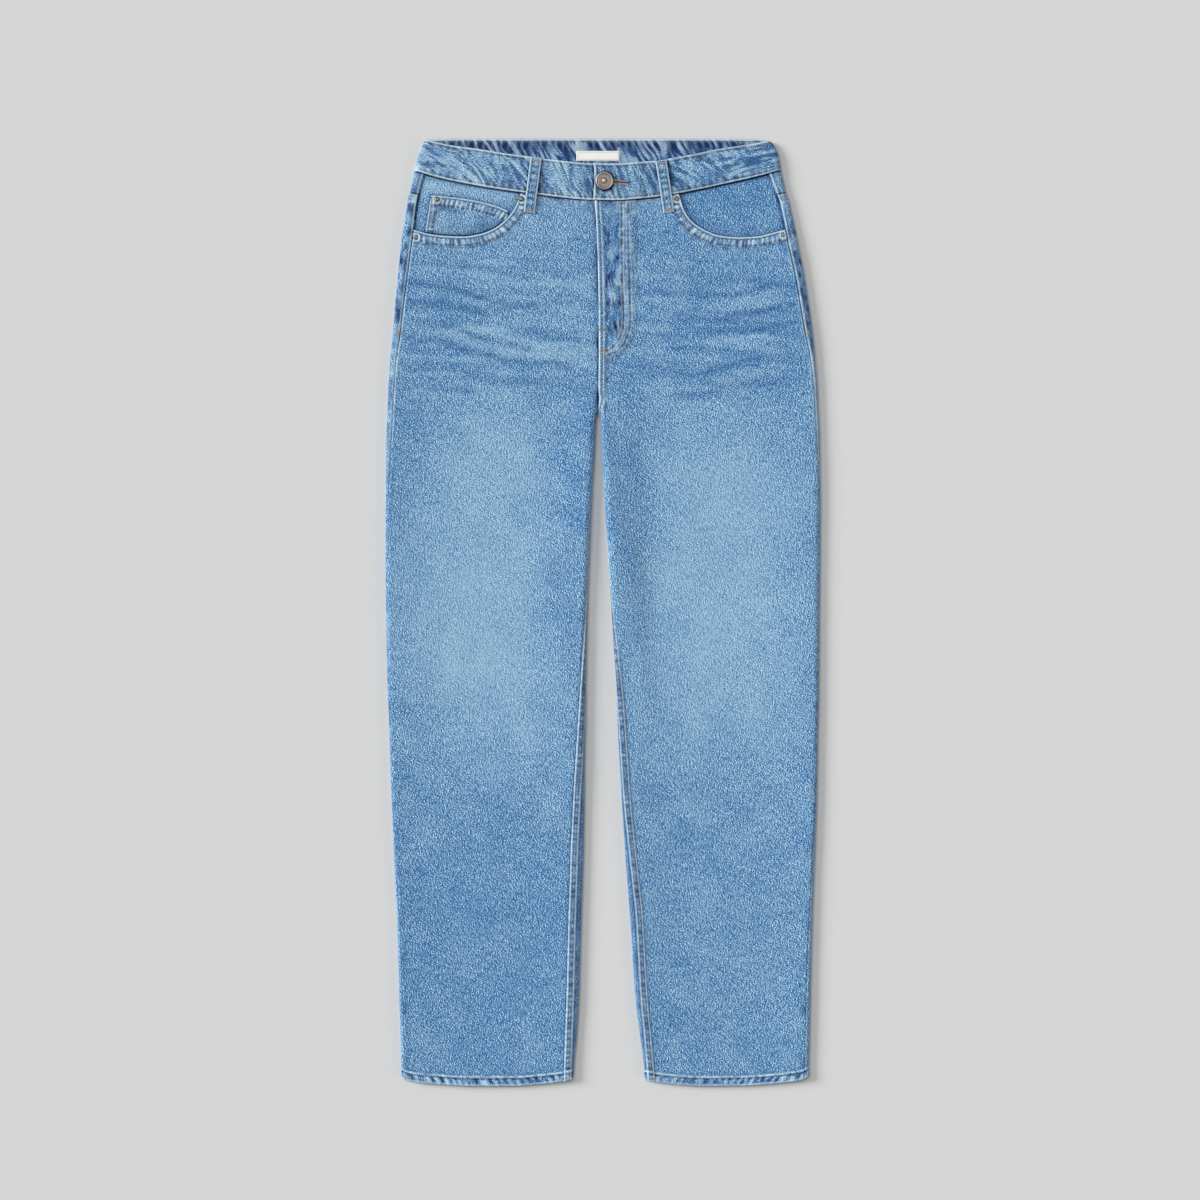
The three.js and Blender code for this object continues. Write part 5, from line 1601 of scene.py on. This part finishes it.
# Dark indigo of creases and blotches, also used as painted shade along edges
DEEP_DYE_AND_SHADE = linear((42, 82, 132))
# Near-black navy: painted shadow in gaps, grooves and slits
PAINTED_GAP_SHADOW = linear((12, 36, 90))
FIBRE_SCALE = (860, 740, 1)
FIBRE_LEAN = math.radians(-9)
TWILL_LEAN = math.radians(63)


def denim():
    """Washed twill: marbled fibres, wash, wear, and dark creases and painted shade from the mesh.
    """
    n = Nodes("washed_denim")
    uv = n.uv()
    fade, wear, dark = n.attribute("fade"), n.attribute("worn"), n.attribute("deep")
    turned = n.scaled(uv, (1, 1, 1), FIBRE_LEAN)
    warp = n.noise(turned, FIBRE_SCALE, 2.0, 0.65)
    beside = n.noise(turned, FIBRE_SCALE, 2.0, 0.65, (1.15, 0.1, 0))
    twist = n.noise(turned, (560, 190, 1), 1.0, 0.6)
    slub = n.noise(uv, (420, 34, 1), 2.0, 0.6)
    weft = n.noise(uv, (120, 460, 1), 2.0, 0.6)
    cloud = n.noise(uv, (38, 30, 1), 3.0, 0.55)
    twill = n.node("ShaderNodeTexWave", wave_type="BANDS", bands_direction="X")
    twill.inputs["Scale"].default_value = 1.0
    twill.inputs["Distortion"].default_value = 1.2
    twill.inputs["Detail"].default_value = 1.0
    n.put(twill.inputs["Vector"], n.scaled(uv, (330, 330, 1), TWILL_LEAN))
    # Pale cloth shows its grain less than deep cloth
    coarse = n.math("MINIMUM", n.math("SUBTRACT", 1.86, n.times(fade, 0.95)), 1.7)
    grit = n.math("SUBTRACT", n.math("SUBTRACT", warp, 0.5), n.swing(beside, 0.42))
    grit = n.times(n.add(grit, n.swing(twist, 0.25)), coarse)
    speck = n.add(n.times(grit, 6.6), n.swing(slub, 0.7), n.swing(weft, 0.4))
    speck = n.add(speck, n.swing(twill.outputs["Fac"], 0.2))
    amount = n.add(fade, n.times(n.times(n.math("SUBTRACT", cloud, 0.5), coarse), 0.6), speck)
    ramp = n.node("ShaderNodeValToRGB")
    stops = ramp.color_ramp.elements
    stops[0].position, stops[0].color = 0.0, (*DEEP, 1)
    stops[1].position, stops[1].color = 1.0, (*PALE, 1)
    stops.new(0.5).color = (*MIDDLE, 1)
    n.put(ramp.inputs["Fac"], n.times(n.add(amount, 0.6), 0.5, clamp=True))
    # Deep indigo of creases and blotches, and painted shade along edges, from the mesh
    crease = n.times(dark, n.math("SUBTRACT", 1.5, warp), clamp=True)
    colour = n.mix(n.times(crease, 0.85), ramp.outputs["Color"], DEEP_DYE_AND_SHADE)
    colour = n.mix(1.0, colour, n.add(n.times(grit, 1.55), 1.0), "MULTIPLY")
    # Painted shadow: where the mesh's value goes past 1, towards near-black navy
    colour = n.mix(n.swing(dark, 1.3, 1.0, clamp=True), colour, PAINTED_GAP_SHADOW)
    rubbed = n.times(wear, n.add(0.85, n.swing(warp, 2.2)), clamp=True)
    colour = n.mix(n.times(rubbed, 0.92), colour, WORN)
    height = n.add(n.times(warp, 0.6), n.times(slub, 0.35), n.times(twill.outputs["Fac"], 0.25))
    surface = {"Specular IOR Level": 0.18, "Sheen Weight": 0.12, "Sheen Roughness": 0.6}
    return n.finish(colour, 0.88, surface, height, 0.55, 0.00045)


def thread_material(name, colour, second):
    n = Nodes(name)
    vary, twist = n.noise(n.place(), 120), n.noise(n.place(), 2400, 1.0)
    mixed = n.mix(n.swing(vary, 1.6, 0.3, clamp=True), linear(colour), linear(second))
    return n.finish(mixed, 0.7, {"Sheen Weight": 0.2}, twist, 0.4, 0.0001)


def tape_material():
    n = Nodes("woven_tape")
    weave, stain = n.noise(n.uv(), (300, 1400, 1), 1.0), n.noise(n.uv(), (90, 90, 1))
    colour = n.mix(n.times(weave, 0.35), linear((248, 248, 244)), linear((222, 221, 215)))
    colour = n.mix(n.times(stain, 0.15), colour, linear((196, 196, 196)))
    colour = n.mix(n.attribute("deep"), colour, linear((168, 160, 148)))
    return n.finish(colour, 0.62, {"Sheen Weight": 0.25}, weave, 0.5, 0.0002)


def metal_material(name, colour, grime, rough):
    """Aged metal: bright on raised rims, brown in the hollows."""
    n = Nodes(name)
    mottled, fine = n.noise(n.place(), 700, 4.0, 0.6), n.noise(n.place(), 3200)
    hollow = n.times(n.attribute("grime"), 0.72)
    dirt = n.math("ADD", hollow, n.swing(mottled, 0.9, 0.42), clamp=True)
    rough = n.add(rough, n.times(hollow, 0.3), n.times(fine, 0.2))
    colour = n.mix(dirt, linear(colour), linear(grime))
    return n.finish(colour, rough, {"Metallic": 0.92}, fine, 0.35, 0.00012)


def floor_material():
    n = Nodes("pale_paper")
    colour = n.mix(n.times(n.noise(n.place(), 9), 0.03), (0.70, 0.70, 0.70), (0.66, 0.66, 0.665))
    return n.finish(colour, 0.95, {"Specular IOR Level": 0.1})


CAMERA_PLACE = (-0.0029, 0.0135, 3.574)
# name, where the sun stands, its angular size, its strength
SUNS = (
    ("key", (-2.1, 0.66, 1.02), 0.42, 2.85),
    ("top", (-0.9, 0.6, 2.3), 0.6, 1.1),
    ("side", (2.2, -0.5, 1.1), 0.5, 0.5),
)
SKY = 0.19
FLOOR_REACH = 20000.0


def place_camera_and_light():
    scene = bpy.context.scene
    camera = bpy.data.cameras.new("camera")
    camera.lens, camera.sensor_width, camera.clip_end = 100, 36, 20
    obj = bpy.data.objects.new("camera", camera)
    obj.location = CAMERA_PLACE
    scene.collection.objects.link(obj)
    scene.camera = obj
    for name, place, spread, power in SUNS:
        light = bpy.data.lights.new(name, "SUN")
        light.angle, light.energy = spread, power
        lamp = bpy.data.objects.new(name, light)
        lamp.location = place
        lamp.rotation_euler = (-Vector(place)).to_track_quat("-Z", "Y").to_euler()
        scene.collection.objects.link(lamp)
    world = bpy.data.worlds.new("studio")
    world.use_nodes = True
    background = world.node_tree.nodes["Background"]
    background.inputs["Color"].default_value = (1, 1, 1, 1)
    background.inputs["Strength"].default_value = SKY
    scene.world = world
    scene.view_settings.view_transform = "Standard"
    scene.view_settings.look = "None"


def make_floor():
    r = FLOOR_REACH
    floor = mesh_object("floor", [[-r, -r, 0], [r, -r, 0], [r, r, 0], [-r, r, 0]], [[0, 1, 2, 3]])
    floor.data.materials.append(floor_material())


def finish_piece(obj, material, nodes):
    obj.data.materials.append(material)
    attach(obj, "root")
    if nodes:
        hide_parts(*nodes)
    return obj


def surface_area(obj):
    mesh = obj.data
    areas = np.zeros(len(mesh.polygons))
    mesh.polygons.foreach_get("area", areas)
    return float(areas.sum())


place_camera_and_light()
make_floor()
washed = denim()
thread = thread_material("tan_thread", (84, 84, 104), (152, 144, 144))
tack_thread = thread_material("tack_thread", (152, 126, 106), (194, 173, 150))
button_metal = metal_material("button_metal", (186, 178, 168), (84, 71, 64), 0.34)
rivet_metal = metal_material("rivet_metal", (178, 166, 150), (44, 34, 28), 0.26)

# key of a piece of each side, what makes it, the node it replaces, its slot
SIDE_PIECES = (
    ("front", front_panel, "front", "washed_denim"),
    ("back", back_panel, "back", "deep_denim"),
    ("yoke", yoke, "yoke", "deep_denim"),
    ("facing", pocket_facing, "pocket_facing", "waist_denim"),
    ("back_pocket", back_pocket, "back_pocket", "deep_denim"),
)
cloth = {}
for side in (RIGHT, LEFT):
    for key, make, node, slot in SIDE_PIECES:
        cloth[f"{key}_{side.name}"] = finish_piece(
            make(side), washed, [f"{node}_{side.name}"])
cloth["coin_pocket"] = finish_piece(coin_pocket(), washed, ["coin_pocket"])
cloth["waistband"] = finish_piece(waistband(), washed, ["waistband"])
for i, (name, spine) in enumerate(FRONT_LOOPS.items()):
    loop = strip_object(f"belt_loop_{name}_strip", spine, loop_bow, 1.4, 200 + i)
    cloth[f"loop_{name}"] = finish_piece(loop, washed, [f"belt_loop_{name}"])
for i, (name, x) in enumerate(BACK_LOOPS.items()):
    spine = ((x, 506.0), (x, 506.0 - LOOP_LONG))
    loop = strip_object(
        f"belt_loop_{name}_strip", spine, lambda t: 1.3 + 0 * t, 1.2, 210 + i, down=True)
    cloth[f"loop_{name}"] = finish_piece(loop, washed, [f"belt_loop_{name}"])
label = finish_piece(label_object(), tape_material(), ["label"])
finish_piece(button_object(), button_metal, ["button"])
for name, (x, y, ground) in RIVETS.items():
    finish_piece(rivet_object(name, x, y, ground), rivet_metal, [name])


def offset_line(line, away):
    """A line moved sideways: above 0 to its left as it runs."""
    line = np.asarray(line, float)
    run = np.gradient(line, axis=0)
    run = run / np.linalg.norm(run, axis=1, keepdims=True)
    return line + away * np.stack([-run[:, 1], run[:, 0]], 1)


def hem_row(side, outer_spare, inner_spare):
    """The hem's stitching line, ending that far inside both edges of the leg."""
    x = np.linspace(side.outer(-490) + side.dir * outer_spare,
                    side.inner(-490) - side.dir * inner_spare, 60)
    outer, inner = side.outer(HEM_CORNER_Y), side.inner(HEM_CORNER_Y)
    return np.stack([x, side.hem((x - outer) / (inner - outer)) + HEM_ROW_UP], 1)


def sew_leg(side, trees, front_threads, back_threads, tacks):
    """Pocket mouth, inseam, hem, yoke seam and back pocket of one leg, and the side bartack."""
    front, back = trees[f"front_{side.name}"], trees[f"back_{side.name}"]
    mouth = side.mouth_line
    mouth = mouth[np.abs(mouth[:, 0]) < np.abs(side.outer(405.0)) - 13]
    mouth = mouth[mouth[:, 1] < 447]
    for away in MOUTH_ROWS:
        sew_top(front_threads, front, offset_line(mouth, away * side.dir), 300 + int(away))
    y = np.linspace(-497, 212, 240)
    end = back_cut(side, y)[1]
    for away in INSEAM_ROWS:
        sew_ring(front_threads, back, side, y, end + away, 320 + int(away))
    sew_top(front_threads, front, hem_row(side, 9, 12), 330)
    sew_top(back_threads, back, hem_row(side, 4, 4), 331, BELOW)
    off = np.linspace(8, 196, 60)
    for away in YOKE_ROWS:
        seam = np.stack([CENTRE_X - side.dir * off, yoke_seam(off) - 0.2 - away], 1)
        sew_top(back_threads, back, seam, 340 + int(away), BELOW)
    outline, pocket = back_pocket_outline(side), trees[f"back_pocket_{side.name}"]
    for away in POCKET_SIDE_ROWS:
        ring = inset_ring(outline[:-1], away)
        sew_top(back_threads, pocket, ring[2:], 350 + int(away), BELOW)
    for away in POCKET_TOP_ROWS:
        ring = inset_ring(outline[:-1], away)
        sew_top(back_threads, pocket, ring[:3], 360 + int(away), BELOW)
    for corner in (outline[0], outline[2]):
        start = corner + np.array([-np.sign(corner[0] - outline[1][0]) * 2.0, -3.0])
        bartack(tacks, pocket, start, start + (0, -8), 2.2, BELOW)
    y = np.array([299.0, 292.0])
    spot = skin(side, y, back_limits(side, y)[0] - 1.2)[0][0, :2]
    bartack(tacks, back + front, spot - (3.0, -0.5), spot + (3.0, -0.5), 2.4)


def sew_everything():
    front_threads, back_threads = Threads("stitching_front"), Threads("stitching_back")
    tacks = Threads("stitching_bartacks")
    trees = {key: [surface_of(obj)] for key, obj in cloth.items()}
    for side in (RIGHT, LEFT):
        sew_leg(side, trees, front_threads, back_threads, tacks)
    for away in RISE_ROWS:
        for key, low, high, seed in (("back_left", 240, 401, 371), ("yoke_left", 408, 464, 372)):
            y = np.linspace(low, high, 40)
            line = np.stack([CENTRE_X + 0.3 + away + 0 * y, y], 1)
            sew_top(back_threads, trees[key], line, seed, BELOW)
    for row in (FLY_ROW_INNER, FLY_ROW_OUTER, FLY_ROW_EDGE):
        sew_top(front_threads, trees["front_left"], row, 380)
    y = np.linspace(232, 438, 60)
    sew_top(front_threads, trees["front_left"], np.stack([fly_edge(y) + 1.8, y], 1), 381)
    for start, end in FLY_TACKS:
        bartack(tacks, trees["front_left"], start, end, 1.8)
    x = np.linspace(COIN_ENDS[0] + 2, COIN_ENDS[1] - 2, 40)
    for away in COIN_TOP_ROWS:
        sew_top(front_threads, trees["coin_pocket"], np.stack([x, coin_top(x) - away], 1), 390)
    for away in COIN_SIDE_ROWS:
        line = np.array([[COIN_ENDS[0] + away, 443.0], [-189.6 + away, 407.0]])
        sew_top(front_threads, trees["coin_pocket"], line, 391)
    band = trees["waistband"]
    u = np.linspace(0.012, 0.988, 200)
    for up in BAND_ROWS_UP:
        x = mix(RIGHT.band_side(up), LEFT.band_side(up), u)
        sew_top(front_threads, band, np.stack([x, mix(band_bottom(u), band_top(u), up)], 1), 400)
        row = np.stack([x, mix(*back_band(u), up)], 1)
        sew_top(back_threads, band, row, 401, BELOW)
        if up > 0.5:
            sew_top(front_threads, band, row[6:-6], 402, INSIDE_BAND)
    lap_x = mix(RIGHT.band_side(0.5), LEFT.band_side(0.5), BAND_LAP_END_U)
    sew_top(front_threads, band, np.array([[lap_x + 2.6, 477.5], [lap_x + 4.0, 444.6]]), 403)
    for name, (top, foot) in FRONT_LOOPS.items():
        tree = trees[f"loop_{name}"]
        top, foot = np.array(top), np.array(foot)
        run = (foot - top) / np.linalg.norm(foot - top)
        sideways = np.array([-run[1], run[0]])
        for off in LOOP_ROWS:
            line = np.stack([top + run * 2 + sideways * off, foot - run * 2 + sideways * off])
            sew_top(front_threads, tree, line, 410)
        for centre in (top + run * 4.0, foot - run * 3.6):
            bartack(tacks, tree, centre - sideways * LOOP_TACK, centre + sideways * LOOP_TACK,
                    1.9, turns=18)
    for name, x in BACK_LOOPS.items():
        tree = trees[f"loop_{name}"]
        for off in LOOP_ROWS:
            sew_top(back_threads, tree, np.array([[x + off, 504.0], [x + off, 447.0]]), 411, BELOW)
        for y in (502.0, 448.6):
            bartack(tacks, tree, (x - LOOP_TACK, y), (x + LOOP_TACK, y), 1.9, BELOW, 18)
    buttonhole(tacks, band)
    return front_threads, back_threads, tacks


def inset_ring(ring, away):
    """A closed outline moved inwards, its first corner repeated at the end."""
    ring = np.asarray(ring, float)
    count = len(ring)
    area = sum(np.cross(ring[i], ring[(i + 1) % count]) for i in range(count))
    sign = 1.0 if area > 0 else -1.0
    moved = []
    for i in range(count):
        before, here, after = ring[i - 1], ring[i], ring[(i + 1) % count]
        n1 = np.array([-(here - before)[1], (here - before)[0]])
        n2 = np.array([-(after - here)[1], (after - here)[0]])
        n1, n2 = n1 / np.linalg.norm(n1), n2 / np.linalg.norm(n2)
        both = n1 + n2
        moved.append(here + sign * away * both / (1 + float(n1 @ n2)))
    moved.append(moved[0])
    return np.array(moved)


def buttonhole(threads, band):
    """A keyhole worked in dense thread, running from under the button to its point."""
    start, end = np.array([8.6, 460.9]), np.array([28.0, 459.6])
    for t in np.linspace(0, 1, 46):
        centre = mix(start, end, t)
        spread = 3.0 * (1 - 0.6 * t**1.6)
        for way in (-1, 1):
            a = dropped(band, centre + (0.0, way * 0.6), ON_BAND)
            b = dropped(band, centre + (0.15, way * spread), ON_BAND)
            if a is not None and b is not None:
                threads.stitch(a[0], b[0], Vector((0, 0, 1)), wide=0.3, high=0.4, sink=0.05)


for threads, material, slot in zip(
    sew_everything(), (thread, thread, tack_thread), ("washed_denim", "deep_denim", "washed_denim"),
):
    finish_piece(threads.build(), material, [])

# What a mesh's area is taken to be over its cut: relief and lips, and both faces on the waistband
RELIEF_SHARE = 1.03
BAND_FACES = 2.1
# Each sheet of cloth, with the size of its flat cut and what it lies on
SHEETS = [
    ("front_right", (0.235, 0.985), ["denim_back_right"]),
    ("front_left", (0.235, 0.985), ["denim_back_left"]),
    ("back_right", (0.262, 0.985), ["floor"]),
    ("back_left", (0.262, 0.985), ["floor"]),
    ("yoke_right", (0.215, 0.070), ["denim_back_right"]),
    ("yoke_left", (0.215, 0.070), ["denim_back_left"]),
    ("facing_right", (0.125, 0.080), ["denim_yoke_right"]),
    ("facing_left", (0.125, 0.080), ["denim_yoke_left"]),
    ("coin_pocket", (0.089, 0.044), ["denim_facing_right"]),
    ("back_pocket_right", (0.138, 0.171), ["floor"]),
    ("back_pocket_left", (0.138, 0.171), ["floor"]),
    ("waistband", (0.815, 0.039), ["floor"]),
    ("loop_front_right", (0.0138, 0.065), ["denim_waistband"]),
    ("loop_front_left", (0.0138, 0.065), ["denim_waistband"]),
    ("loop_back_right", (0.0138, 0.065), ["floor"]),
    ("loop_back_centre", (0.0138, 0.065), ["floor"]),
    ("loop_back_left", (0.0138, 0.065), ["floor"]),
]
for key, flat, rests_on in SHEETS:
    area = surface_area(cloth[key]) / (BAND_FACES if key == "waistband" else RELIEF_SHARE)
